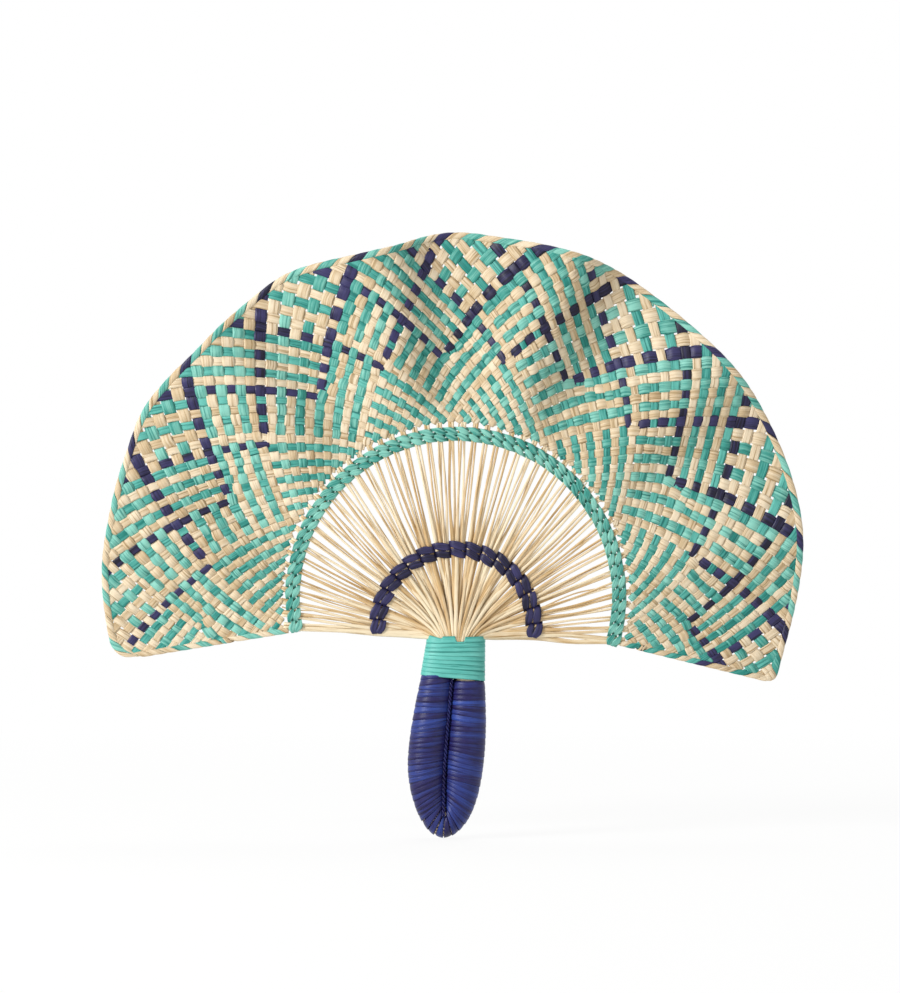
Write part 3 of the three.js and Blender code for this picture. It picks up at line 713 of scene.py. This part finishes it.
folded = {}
for edge, (family, angles, radii) in edges.items():
    line = blade_point(angles, radii)
    facing = blade_facing(angles, radii - 1)
    reach, half_thickness, slant = FOLDS[edge]
    reach = np.full(EDGE_SAMPLES, reach)
    if edge == "rim":
        inward = unit(blade_point(angles, radii - 1) - line)
        from_corner = np.minimum(angles - BLADE_ENDS["right"], BLADE_ENDS["left"] - angles)
        reach += CORNER_REACH * (1 - smooth(0, CORNER_ANGLE, from_corner))
    else:
        inward = unit(np.cross(ahead(line), facing)) * (1 if edge == "left" else -1)
    wind_edge(line, inward, facing, reach, half_thickness, slant, arrivals_at(edge), folded)

for finish, pile in folded.items():
    pile.piece(f"edge_{finish}", finish, "woven_palm", "woven_blade")

# %% [markdown]
# ## Straws
# The spokes are split palm straws. Six of them run side by side through each stitch of the inner
# band, in two layers of three. Beyond it they part into pairs with a thinner straw between, and go
# into the weave. The spokes at both ends of the fan are stouter.
# Hair could fill the fan at once, but each straw has its place in the neck, in both bands and in
# the weave. So their paths are smooth curves through those places, and their sections flat ovals.

# %% Places of the spokes
OUTER_BAND_RADIUS = 81.6
OUTER_BAND_ENDS = (190.5, -15.5)
INNER_BAND_CENTRE = 64.8
INNER_BAND_RADIUS = 39.1
INNER_BAND_ENDS = (180, -3)
BUNDLES = 17
SPOKES_PER_BUNDLE = 3


def in_plane(centre, angle, radius):
    """A point of the fan's middle plane, seen from a centre above the grip."""
    turn = math.radians(angle)
    return np.array([radius * math.cos(turn), 0, centre + radius * math.sin(turn)])


bundle_angles = np.linspace(*INNER_BAND_ENDS, BUNDLES)
bundle_ends = [in_plane(INNER_BAND_CENTRE, angle, INNER_BAND_RADIUS) for angle in bundle_angles]
spoke_angles = np.linspace(*OUTER_BAND_ENDS, BUNDLES * SPOKES_PER_BUNDLE)
print(f"{len(spoke_angles)} spokes in {BUNDLES} bundles")

# %% Smooth paths and oval sections
PATH_STEPS = 7
STRAW_SIDES = 8
OVAL = np.linspace(0, 2 * np.pi, STRAW_SIDES, endpoint=False)
TO_FRONT = np.array([0, -1.0, 0])


def smooth_path(points):
    """A curve through points, with the slope at each from its neighbours."""
    points = np.array(points, dtype=float)
    slopes = np.gradient(points, axis=0)
    share = np.linspace(0, 1, PATH_STEPS, endpoint=False)[:, None]
    spans = []
    for at in range(len(points) - 1):
        start, end = points[at], points[at + 1]
        bend_in = 2 * share ** 3 - 3 * share ** 2 + 1
        lead = share ** 3 - 2 * share ** 2 + share
        trail = share ** 3 - share ** 2
        spans.append(bend_in * start + (1 - bend_in) * end + lead * slopes[at] + trail * slopes[at + 1])
    return np.concatenate(spans + [points[-1:]])


def add_oval(pile, path, half_width, half_depth, broad_side, tone):
    """A flat oval along a path, with its broad side turned to a direction."""
    forward = ahead(path)
    across = unit(np.cross(forward, broad_side))
    facing = np.cross(across, forward)
    wide = across[:, None] * np.cos(OVAL)[None, :, None] * half_width[:, None, None]
    deep = facing[:, None] * np.sin(OVAL)[None, :, None] * half_depth[:, None, None]
    pile.add(path[:, None] + wide + deep, half_width[:, None] * np.cos(OVAL), tone)


print(f"straws with {STRAW_SIDES} sides")

# %% Run the straws from the neck to the weave
NECK_TOP = 59.5
NECK_HALF_WIDTH = 14.2
NECK_HALF_DEPTH = 7.3
SPOKE_ORIGIN = np.array([0, 0, 61.8])
ROOT_REACH = 12.2
ROOT_LAYERS = 5
ROOT_CLEAR = 1
STRAWS_APART = 2.0
LAYERS_APART = 0.5
PAIR_APART = 0.75
STOUT_AT_ENDS = (1.9, 1.4)
STRAW_RANGE = (0.85, 1.15)
STRAW_TONES = (-0.1, 1.1)
STRAW_STRAY, THIN_STRAY = 0.5, 1.0
# Half widths and half depths in mm, at shares of a straw's length.
STRAW_WIDTHS = ((0, 0.8), (0.3, 0.95), (0.5, 0.95), (0.66, 0.55), (0.85, 0.62), (1, 0.75))
STRAW_DEPTHS = ((0, 0.6), (0.5, 0.5), (0.65, 0.36), (1, 0.3))
THIN_WIDTHS = ((0, 0.4), (0.5, 0.33), (1, 0.4))
THIN_DEPTHS = ((0, 0.25), (1, 0.25))

straws = Strips()


def add_straw(path, widths, depths, stout):
    """One straw of its own width and tone."""
    share = np.linspace(0, 1, len(path))
    half_width = np.interp(share, *zip(*widths)) * chance.uniform(*STRAW_RANGE) * stout
    half_depth = np.interp(share, *zip(*depths))
    add_oval(straws, path, half_width, half_depth, TO_FRONT, chance.uniform(*STRAW_TONES))


for spoke, spoke_angle in enumerate(spoke_angles):
    bundle, place = divmod(spoke, SPOKES_PER_BUNDLE)
    outward = unit(bundle_ends[bundle] - SPOKE_ORIGIN)
    beside = np.array([outward[2], 0, -outward[0]])
    start = bundle_ends[bundle] + beside * STRAWS_APART * (place - 1)
    spoke_end = in_plane(OUTER_BAND_CENTRE, spoke_angle, OUTER_BAND_RADIUS)
    from_end = min(spoke, len(spoke_angles) - 1 - spoke)
    stout = STOUT_AT_ENDS[from_end] if from_end < len(STOUT_AT_ENDS) else 1
    for layer in (-1, 1):
        order = 2 * spoke + (layer + 1) // 2
        root_x = ROOT_REACH * (2 * order / (2 * len(spoke_angles) - 1) - 1)
        room = (NECK_HALF_DEPTH - ROOT_CLEAR) * math.sqrt(1 - (root_x / NECK_HALF_WIDTH) ** 2)
        root_y = room * (2 * ((order * 2) % ROOT_LAYERS) / (ROOT_LAYERS - 1) - 1)
        in_band = start + (beside - TO_FRONT) * LAYERS_APART * layer
        spoke_out = unit(spoke_end - in_band)
        spoke_side = np.array([spoke_out[2], 0, -spoke_out[0]])
        stray = chance.normal(0, STRAW_STRAY)
        ends = spoke_end + spoke_side * PAIR_APART * layer
        # Up out of the neck, fanned out, through the inner band, a little bowed, into the weave.
        add_straw(smooth_path([
            (root_x, root_y, NECK_TOP - 5),
            (root_x, root_y, NECK_TOP + 0.5),
            SPOKE_ORIGIN * 0.25 + in_band * 0.45 + np.array([root_x, root_y, NECK_TOP]) * 0.3,
            in_band,
            in_band + (spoke_end - in_band) * 0.45 + spoke_side * (0.7 * layer + stray),
            ends - spoke_out * 4,
            ends + spoke_out * 6,
        ]), STRAW_WIDTHS, STRAW_DEPTHS, stout)
    stray = chance.normal(0, THIN_STRAY, 2)
    add_straw(smooth_path([
        start - outward * 8,
        start,
        start + (spoke_end - start) * 0.5 + spoke_side * stray[0],
        spoke_end + spoke_side * stray[1] - spoke_out * 2,
        spoke_end + spoke_side * stray[1] + spoke_out * 5,
    ]), THIN_WIDTHS, THIN_DEPTHS, stout)

straws.piece(
    "spoke_straws", "straw", "palm_straw",
    *[f"spoke_bundle_{number:02d}" for number in range(1, BUNDLES + 1)])

# %% [markdown]
# ## Twined bands
# Two strands twist round each other along a row. Each passes in front of one spoke and behind the
# next, so every spoke shows one slanted stitch. Each band has two such rows, which draw together
# at their ends. A rope could be bent round instead, but it would take no notice of the spokes.
# So a strand is a flat strip: broad where it shows, narrow where it turns through between spokes.

# %% Strands of twining
STITCH_STEPS = 16
STITCH_FLATNESS = 2
STITCH_STRAY = 0.12
STITCH_RANGE = (0.9, 1.08)
ENDS_CLOSE = 0.5
ENDS_NARROW = 0.15
STRAND_CROWN = 0.14
STRAND_THICKNESS = 0.45
BANDS = {
    "outer": dict(
        centre=OUTER_BAND_CENTRE, radius=OUTER_BAND_RADIUS, angles=spoke_angles, row_offset=1.65,
        width=3.5, waist=0.5, depth=1.0, slant=1.05, past=0.45, finish="mint_leaf", slot="teal_strip"),
    "inner": dict(
        centre=INNER_BAND_CENTRE, radius=INNER_BAND_RADIUS, angles=bundle_angles, row_offset=2.05,
        width=3.9, waist=0.8, depth=1.6, slant=0.8, past=0.38, finish="navy_leaf", slot="navy_strip"),
}


def twined_strand(
        name, side, lead, centre, radius, angles, row_offset, width, waist, depth, slant, past, finish, slot):
    """One strand of a row, laid in front of every second spoke."""
    last = len(angles) - 1
    count = np.linspace(-past, last + past, int((last + 2 * past) * STITCH_STEPS))
    angle = angles[0] + (angles[1] - angles[0]) * count
    phase = np.pi * (count - lead)
    front = np.tanh(STITCH_FLATNESS * np.cos(phase)) / math.tanh(STITCH_FLATNESS)
    stitches = np.arange(-1, last + 2)
    wobble = np.interp(count, stitches, chance.normal(0, STITCH_STRAY, len(stitches)))
    at_end = smooth(0, past, np.maximum(-count, count - last))
    out = radius + row_offset * side * (1 - ENDS_CLOSE * at_end) - slant * np.sin(phase) + wobble
    turn = np.radians(angle)
    path = np.stack([out * np.cos(turn), -depth * front, centre + out * np.sin(turn)], axis=-1)
    radial = np.stack([np.cos(turn), np.zeros_like(turn), np.sin(turn)], axis=-1)
    forward = ahead(path)
    across = unit(radial - forward * (radial * forward).sum(axis=1, keepdims=True))
    facing = np.cross(forward, across)
    swing = np.interp(count, stitches, chance.uniform(*STITCH_RANGE, len(stitches)))
    half_width = width / 2 * swing * (waist + (1 - waist) * np.cos(phase) ** 2)
    half_width *= 1 - ENDS_NARROW * at_end
    tone = np.interp(count, stitches, chance.uniform(0, 1, len(stitches)))
    crown = STRAND_CROWN * half_width * front
    rings = leaf_sections(path, across, facing, half_width, crown, STRAND_THICKNESS)
    strand = Strips()
    strand.add(rings, leaf_spans(half_width), tone[:, None])
    strand.piece(f"{name}_leaf", finish, slot, name)


for row, side in (("inner", -1), ("outer", 1)):
    for letter, lead in (("a", 0), ("b", 1)):
        for band, sizes in BANDS.items():
            twined_strand(f"{band}_band_{row}_row_strand_{letter}", side, lead, **sizes)

# %% [markdown]
# ## Neck binding
# A flat teal strip is wound round both legs at the neck, a little aslant, each turn lapping over the
# next one down. The edge of the first turn rises and dips, with a notch for the middle straws.
# Stacked rings would look much the same, but a real strip comes round one turn lower. So it is one
# spiral on an oval that is flattened in front and leans with the handle.

# %% Winding a strip
HANDLE_LEAN = 0.083
TIP_RIGHTING = 2
TIP_RIGHTING_HEIGHT = -40


def lean(height):
    """How far aside the handle's middle lies. It leans left going down, less so near the tip."""
    return HANDLE_LEAN * (height - NECK_TOP) + TIP_RIGHTING * smooth(0, 1, height / TIP_RIGHTING_HEIGHT)


def by_turn(count, values):
    """A quantity with a value of its own at each turn."""
    return np.interp(count, np.arange(len(values)), values)


def wind(width, skins, edges_across, painted_edge_shade, point_at, tones):
    """A wound strip, from its upper edge to its lower one on both skins. Its edges get painted shade for the
    shadow in the gaps between turns, most at the upper edge, under the turn above.
    """
    rows, painted_shade_tones = [], []
    for skin, order in zip(skins, (edges_across, edges_across[::-1])):
        for edge in order:
            rows.append(point_at(skin, edge))
            # Painted shade: the upper edge, tucked under the turn above, is darkened most, and the lower edge
            # a little.
            painted_shade_tones.append(painted_edge_shade[0] * max(0, -edge) ** 2 + painted_edge_shade[1] * max(0, edge) ** 4)
    strip = Strips()
    strip.add(
        np.stack(rows, axis=1), leaf_spans(np.full(len(tones), width / 2)),
        tones[:, None] + np.array(painted_shade_tones))
    return strip


print(f"the tip lies {-lean(TIP_RIGHTING_HEIGHT):.1f} mm left of the neck")

# %% Wind the neck
NECK_BOTTOM = 40.5
NECK_FIRST_TURN = 59.7
NECK_PITCH = 2.15
NECK_STRIP_WIDTH = 2.8
NECK_TURNS = 9
NECK_STEPS = 288
NECK_FLARE = 1.6
NECK_SLOPES = (-0.055, 0.07)
NECK_RIM = (
    (-14.5, 1.6), (-7.4, -0.4), (-6.4, 0.7), (-0.2, 0.7), (0.2, -2.2), (4.2, -2.2), (4.6, 0), (14.5, 0.2))
NECK_SQUARENESS = 0.78
NECK_OUT, NECK_LAP = 0.15, 0.25
NECK_SKINS = (0.2, -0.15)
NECK_EDGES = (-1, -0.5, 0.1, 0.7, 1)
# How much painted shade darkens the upper and the lower edge of each turn of the neck strip.
NECK_PAINTED_EDGE_SHADE = (0.55, 0.25)
NECK_STRAY = {"slope": 0.012, "drift": 0.14}
NECK_RANGE = (0.85, 1.2)
NECK_TONES = (0, 0.6)

count = np.linspace(0, NECK_TURNS, NECK_TURNS * NECK_STEPS)
turn = 2 * np.pi * count + np.pi / 2
cos, sin = np.cos(turn), np.sin(turn)
slope = np.interp(count, (0.5, NECK_TURNS - 0.5), NECK_SLOPES)
slope = slope + by_turn(count, chance.normal(0, NECK_STRAY["slope"], NECK_TURNS + 1))
drift = by_turn(count, chance.uniform(-NECK_STRAY["drift"], NECK_STRAY["drift"], NECK_TURNS + 1))
breadth = by_turn(count, chance.uniform(*NECK_RANGE, NECK_TURNS + 1))
# The shaped edge is on the front of the first turn, and is lost soon after it.
first_turn = smooth(-0.6, 0.2, -sin) * np.exp(-3 * np.maximum(0, count - 0.6))


def neck_point(skin, edge):
    """Points along one edge line of the strip."""
    out = NECK_OUT + skin + NECK_LAP * edge
    half_width = NECK_HALF_WIDTH + NECK_FLARE * count / NECK_TURNS + out
    x = half_width * np.sign(cos) * np.abs(cos) ** NECK_SQUARENESS
    y = (NECK_HALF_DEPTH + out) * np.sign(sin) * np.abs(sin) ** NECK_SQUARENESS
    z = NECK_FIRST_TURN - NECK_PITCH * count - slope * x + drift
    z = z - edge * NECK_STRIP_WIDTH * breadth / 2
    z = z + (1 - edge) / 2 * first_turn * np.interp(x, *zip(*NECK_RIM))
    return np.stack([x + lean(z), y, z], axis=-1)


tones = by_turn(count, chance.uniform(*NECK_TONES, NECK_TURNS + 1))
neck = wind(NECK_STRIP_WIDTH, NECK_SKINS, NECK_EDGES, NECK_PAINTED_EDGE_SHADE, neck_point, tones)
neck.piece("neck_strip_turns", "neck_strip", "neck_strip", "neck_binding")

# %% [markdown]
# ## Handle wraps
# The straws fold back at the bottom of the handle, so it has two legs. A glossy navy strip is wound
# round each, turn on turn. Where the bundle bends, its turns spread like a fan with gaps between,
# and at the top they tuck in under the neck binding.
# A ribbed tube would be quicker, but single turns have edges, gaps and tones of their own.
# A section of a leg runs from an edge at the seam to an edge on the outline. Both edges start level,
# and the inner one lags behind towards the fold, as in the CAD model.

# %% Sections of a leg
LEG_TOP_WIDTH = 32
GRIP_WIDTH = 38.6
BELLY_HEIGHT = 2
FOLD_HEIGHT = -28
FOLD_CROWDING = 2.6
TIP_HEIGHT = -40.5
LEG_SEAM = 0.4
LEG_PRESS = 0.5
LEG_BASE_DEPTH = 4
LEG_DEPTH_SHARE = 0.5
UNDER_NECK = 5

quarter = np.linspace(0, np.pi / 2, 60)
upper_width = LEG_TOP_WIDTH + (GRIP_WIDTH - LEG_TOP_WIDTH) * np.sin(quarter)
upper = np.stack([
    upper_width / 2,
    NECK_BOTTOM + (BELLY_HEIGHT - NECK_BOTTOM) * quarter / quarter[-1]], axis=1)
lower = np.stack([
    np.maximum(GRIP_WIDTH * np.cos(quarter), LEG_SEAM) / 2,
    BELLY_HEIGHT + (TIP_HEIGHT - BELLY_HEIGHT) * np.sin(quarter)], axis=1)
hidden = np.array([[LEG_TOP_WIDTH / 2, NECK_BOTTOM + UNDER_NECK]])
outline = np.concatenate([hidden, upper[:-1], lower])
outline_steps = np.linalg.norm(np.diff(outline, axis=0), axis=1)
outline_way = np.concatenate([[0], np.cumsum(outline_steps)]) - UNDER_NECK
outline_length = outline_way[-1]


def leg_point(side, share, turn, out):
    """Points of a leg at a share of its length and a turn round it, some way out from its winding."""
    way = outline_length * share
    outer = np.stack([np.interp(way, outline_way, outline[:, axis]) for axis in (0, 1)], axis=-1)
    lag = outline_length - (NECK_BOTTOM - FOLD_HEIGHT)
    drop = way - lag * np.maximum(share, 0) ** FOLD_CROWDING
    inner = np.stack([np.full_like(share, LEG_SEAM / 2 - LEG_PRESS), NECK_BOTTOM - drop], axis=-1)
    half = np.linalg.norm(outer - inner, axis=-1) / 2
    wide = (half + out) * np.cos(turn)
    deep = (LEG_BASE_DEPTH + LEG_DEPTH_SHARE * half + out) * np.sin(turn)
    at = inner + (outer - inner) * ((half + wide) / (2 * half))[..., None]
    return np.stack([side * at[..., 0] + lean(at[..., 1]), deep, at[..., 1]], axis=-1)


print(f"outline of a leg {outline_length:.1f} mm long")

# %% Wind both legs
WRAP_TURNS = 29
WRAP_TO_SEAM = 0.3
WRAP_STEPS = 48
WRAP_STRIP_WIDTH = 4.1
WRAP_START = {"left": -0.03, "right": 0.033}
WRAP_END = 0.995
WRAP_LIMIT = 0.999
WRAP_OUT, WRAP_LAP, WRAP_CROWN = -0.3, 0.2, 0.1
WRAP_SKINS = (0.0, -0.35)
WRAP_EDGES = (-1, -0.5, 0, 0.5, 1)
# How much painted shade darkens the upper and the lower edge of each turn of the handle strip.
WRAP_PAINTED_EDGE_SHADE = (0.3, 0.15)
WRAP_STRAY = {"slack": 0.1, "askew": 0.25}
WRAP_RANGE = (0.92, 1.2)
WRAP_DYE = (0.66, 0.27)
TO_NEXT_SEAM = 0.75
TIP_SPREAD = 0.7
TIP_SPREAD_FROM = (0.88, 0.96)
TUCK = 1.5
TUCK_FROM = (-0.8, 0.5)
NECK_EDGE_DROP = 0.4
NECK_EDGE_SLOPE = 0.105

turns = np.arange(WRAP_TURNS + 1)
count = np.linspace(0, WRAP_TURNS + WRAP_TO_SEAM, WRAP_TURNS * WRAP_STEPS)
turn = 2 * np.pi * count + np.pi / 2
advance = 1 + TIP_SPREAD * smooth(*TIP_SPREAD_FROM, turns[1:] / WRAP_TURNS)
advance = np.concatenate([[0], np.cumsum(advance)]) / advance.sum()
pitch = 1 / WRAP_TURNS
strip_share = WRAP_STRIP_WIDTH / outline_length
for name, side in (("left", -1), ("right", 1)):
    middle = by_turn(count, WRAP_START[name] + (WRAP_END - WRAP_START[name]) * advance)
    slack = pitch * by_turn(count, chance.normal(0, WRAP_STRAY["slack"], WRAP_TURNS + 1))
    askew = pitch * by_turn(count, chance.normal(0, WRAP_STRAY["askew"], WRAP_TURNS + 1)) * np.cos(turn)
    breadth = by_turn(count, chance.uniform(*WRAP_RANGE, WRAP_TURNS + 1))
    from_seam = side * LEG_TOP_WIDTH / 4 * (1 + np.cos(turn))
    neck_edge = NECK_BOTTOM - NECK_EDGE_DROP - NECK_EDGE_SLOPE * from_seam

    def wrap_point(skin, edge):
        """Points along one edge line of the strip, drawn in where the neck binding covers it."""
        share = np.minimum(middle + slack + askew + edge * strip_share * breadth / 2, WRAP_LIMIT)
        below_neck = neck_edge - (NECK_BOTTOM - outline_length * share)
        tucked = TUCK * (1 - smooth(*TUCK_FROM, below_neck))
        out = WRAP_OUT + skin + WRAP_LAP * edge + WRAP_CROWN * (1 - edge * edge) - tucked
        return leg_point(side, share, turn, out)

    # Each turn has a tone of its own, which changes in the seam.
    dye = np.clip(chance.normal(*WRAP_DYE, WRAP_TURNS + 2), 0, 1)
    tones = dye[np.floor(count + TO_NEXT_SEAM).astype(int)]
    wrap = wind(WRAP_STRIP_WIDTH, WRAP_SKINS, WRAP_EDGES, WRAP_PAINTED_EDGE_SHADE, wrap_point, tones)
    wrap.piece(f"handle_strip_{name}", "grip_strip", "handle_strip", f"handle_wrap_{name}")

# %% [markdown]
# ## Seam knots
# Where the two legs meet, the turns are hitched to each other, which leaves a chain of small knots
# in the groove. Every hitch could be tied by itself, but at this size only the chain shows, and two
# thin strands twisted together give that.

# %% Twist the knots along the seam
KNOT_RADIUS = 0.42
KNOT_FLATNESS = 0.8
KNOT_TONE = 0.9
KNOT_SWING = 0.5
KNOT_SINK = 0.35
KNOT_TWIST = 4.4
KNOT_TOP, KNOT_END = 42, -29
KNOT_ROOM = 1.2

knots = Strips()
inner_side = np.linspace(np.pi, 1.5 * np.pi, 40)
groove = np.concatenate([
    leg_point(1, np.full(len(inner_side), share), inner_side, 0) for share in np.linspace(0, 1, 120)])


def groove_depth(height):
    """How far back a knot lies when it touches the legs on both sides."""
    gap = np.hypot(groove[:, 0] - lean(height), groove[:, 2] - height)
    close = gap < KNOT_ROOM
    return (groove[close, 1] - np.sqrt(KNOT_ROOM ** 2 - gap[close] ** 2)).min()


heights = np.linspace(KNOT_TOP, KNOT_END, 240)
depth = np.array([groove_depth(min(height, NECK_BOTTOM)) for height in heights])
for start in (0, np.pi):
    turn = 2 * np.pi * (KNOT_TOP - heights) / KNOT_TWIST + start
    path = np.stack([
        lean(heights) - KNOT_SWING + KNOT_SWING * np.cos(turn),
        depth + KNOT_SINK + KNOT_SWING * np.sin(turn), heights], axis=-1)
    half = np.full(len(heights), KNOT_RADIUS)
    add_oval(knots, path, half, half * KNOT_FLATNESS, TO_FRONT, KNOT_TONE)
knots.piece("seam_knots", "grip_strip", "handle_strip", "seam_lashing")

# %% [markdown]
# ## Handle core
# The folded straws show only in gaps: under the neck on the right leg and between the last turns at
# the tip. The CAD solid has the right shape, so it stays and takes the straw material. It carries no
# strip marks, so the veins lie still. Close to the tip single straws bend round the fold, just under
# the winding.

# %% Dress the core and bend straws round the fold
FOLD_STRAWS = 9
FOLD_STRAW_SPREAD = 1.3
FOLD_STRAW_FROM = 0.86
FOLD_STRAW_DEPTH = 1.2
FOLD_STRAW_SIZE = (0.95, 0.4)
FOLD_STRAW_TONES = (-0.1, 0.5)

fold = Strips()
down = np.linspace(FOLD_STRAW_FROM, 1, 24)
for turn in np.linspace(-FOLD_STRAW_SPREAD, FOLD_STRAW_SPREAD, FOLD_STRAWS):
    around = np.full(len(down), turn)
    legs = [leg_point(side, down, around, -FOLD_STRAW_DEPTH) for side in (-1, 1)]
    path = np.concatenate([legs[0], legs[1][-2::-1]])
    outward = unit(path - np.array([lean(FOLD_HEIGHT), 0, FOLD_HEIGHT]))
    half_width, half_depth = (np.full(len(path), size) for size in FOLD_STRAW_SIZE)
    add_oval(fold, path, half_width, half_depth, outward, chance.uniform(*FOLD_STRAW_TONES))
fold.piece("fold_straws", "straw", "palm_straw")

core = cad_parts["handle_core"]
core.data.materials.clear()
core.data.materials.append(finishes["straw"])
print("core:", core.name)

# %% [markdown]
# ## Light, floor and backdrop
# The photograph has even light with a soft key from the upper left, which shades the falling side
# of each ruffle. A broad area lamp and a pale world do the same. The floor is a sweep of paper. It
# takes a faint shadow near the fan and fades to the white of the background, so no edge shows.

# %% Paper floor
FLOOR_HEIGHT = -41
FLOOR_WIDTH, FLOOR_FRONT, FLOOR_BACK = 6, -3, 1.1
PAPER_FADE = {"From Min": 0.3, "From Max": 0.9, "To Min": 0.9, "To Max": 1.0}

floor_mesh = bpy.data.meshes.new("floor")
half = FLOOR_WIDTH / 2
floor_mesh.from_pydata([
    (-half, FLOOR_FRONT, 0), (half, FLOOR_FRONT, 0), (half, FLOOR_BACK, 0), (-half, FLOOR_BACK, 0)],
    [], [(0, 1, 2, 3)])
floor = bpy.data.objects.new("floor", floor_mesh)
floor.location = (0, 0, FLOOR_HEIGHT * MM)
bpy.context.collection.objects.link(floor)
floor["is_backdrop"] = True

# Rolled paper without a coat: matt, so only the shadow shows on it.
paper = bpy.data.materials.new("white paper sweep")
paper.use_nodes = True
tree = paper.node_tree
tree.nodes.clear()
path = add_node(tree, "ShaderNodeLightPath")
seen = add_node(tree, "ShaderNodeMath", {"operation": "MAXIMUM"}, {
    0: path.outputs["Is Camera Ray"], 1: path.outputs["Is Glossy Ray"]}).outputs["Value"]
seen = add_node(tree, "ShaderNodeMath", {"operation": "MAXIMUM"}, {
    0: seen, 1: path.outputs["Is Transmission Ray"]}).outputs["Value"]
matt = add_node(tree, "ShaderNodeBsdfDiffuse", {"Color": linear("#F4F4F2")})
glow = add_node(tree, "ShaderNodeEmission", {"Color": linear("#FFFFFF")}, {"Strength": seen})
place = add_node(tree, "ShaderNodeNewGeometry").outputs["Position"]
away = add_node(tree, "ShaderNodeVectorMath", {"operation": "LENGTH"}, {0: place}).outputs["Value"]
white = add_node(tree, "ShaderNodeMapRange", PAPER_FADE, {"Value": away}).outputs["Result"]
share = add_node(tree, "ShaderNodeMath", {"operation": "MULTIPLY"}, {0: seen, 1: white}).outputs["Value"]
blend = add_node(tree, "ShaderNodeMixShader", {}, {
    0: share, 1: matt.outputs["BSDF"], 2: glow.outputs["Emission"]})
add_node(tree, "ShaderNodeOutputMaterial", {}, {"Surface": blend.outputs["Shader"]})
floor_mesh.materials.append(paper)
print(f"floor {FLOOR_HEIGHT} mm from the middle of the grip")

# %% Pale world, white to the camera
WORLD_LIGHT = {"To Min": 0.38, "To Max": 1.0}

world = bpy.data.worlds.new("studio")
bpy.context.scene.world = world
world.use_nodes = True
tree = world.node_tree
path = add_node(tree, "ShaderNodeLightPath")
seen = add_node(tree, "ShaderNodeMath", {"operation": "MAXIMUM"}, {
    0: path.outputs["Is Camera Ray"], 1: path.outputs["Is Glossy Ray"]}).outputs["Value"]
seen = add_node(tree, "ShaderNodeMath", {"operation": "MAXIMUM"}, {
    0: seen, 1: path.outputs["Is Transmission Ray"]}).outputs["Value"]
strength = add_node(tree, "ShaderNodeMapRange", WORLD_LIGHT, {"Value": seen}).outputs["Result"]
background = tree.nodes["Background"]
background.inputs["Color"].default_value = linear("#FFFFFF")
tree.links.new(strength, background.inputs["Strength"])
print("world strength on the fan:", WORLD_LIGHT["To Min"])

# %% Soft lamps that look at the middle of the blade
LAMP_TARGET = np.array([0, 0, 0.13])
# Place and size in metres, and power in watts.
SOFTBOXES = {
    "key softbox": ((-1.6, -1.1, 0.97), 0.7, 37),
    "fill softbox": ((1.4, -1.8, 0.6), 1.2, 3),
    "overhead softbox": ((0.3, 0.6, 2.2), 1.5, 20),
}

for name, (place, size, power) in SOFTBOXES.items():
    data = bpy.data.lights.new(name, "AREA")
    data.size, data.energy = size, power
    lamp = bpy.data.objects.new(name, data)
    lamp.location = place
    direction = np.array(place) - LAMP_TARGET
    lamp.rotation_euler = (
        math.atan2(math.hypot(direction[0], direction[1]), direction[2]), 0,
        math.atan2(direction[0], -direction[1]))
    bpy.context.collection.objects.link(lamp)

bpy.context.scene.view_settings.view_transform = "Standard"
print("lamps:", [lamp.name for lamp in bpy.data.lights])

# %% Sizes of the CAD box and the dressed fan
sizes = {
    "cad": [list(corner) for corner in cad_box],
    "visual": [list(corner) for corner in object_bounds()],
}
print("sizes:", sizes)
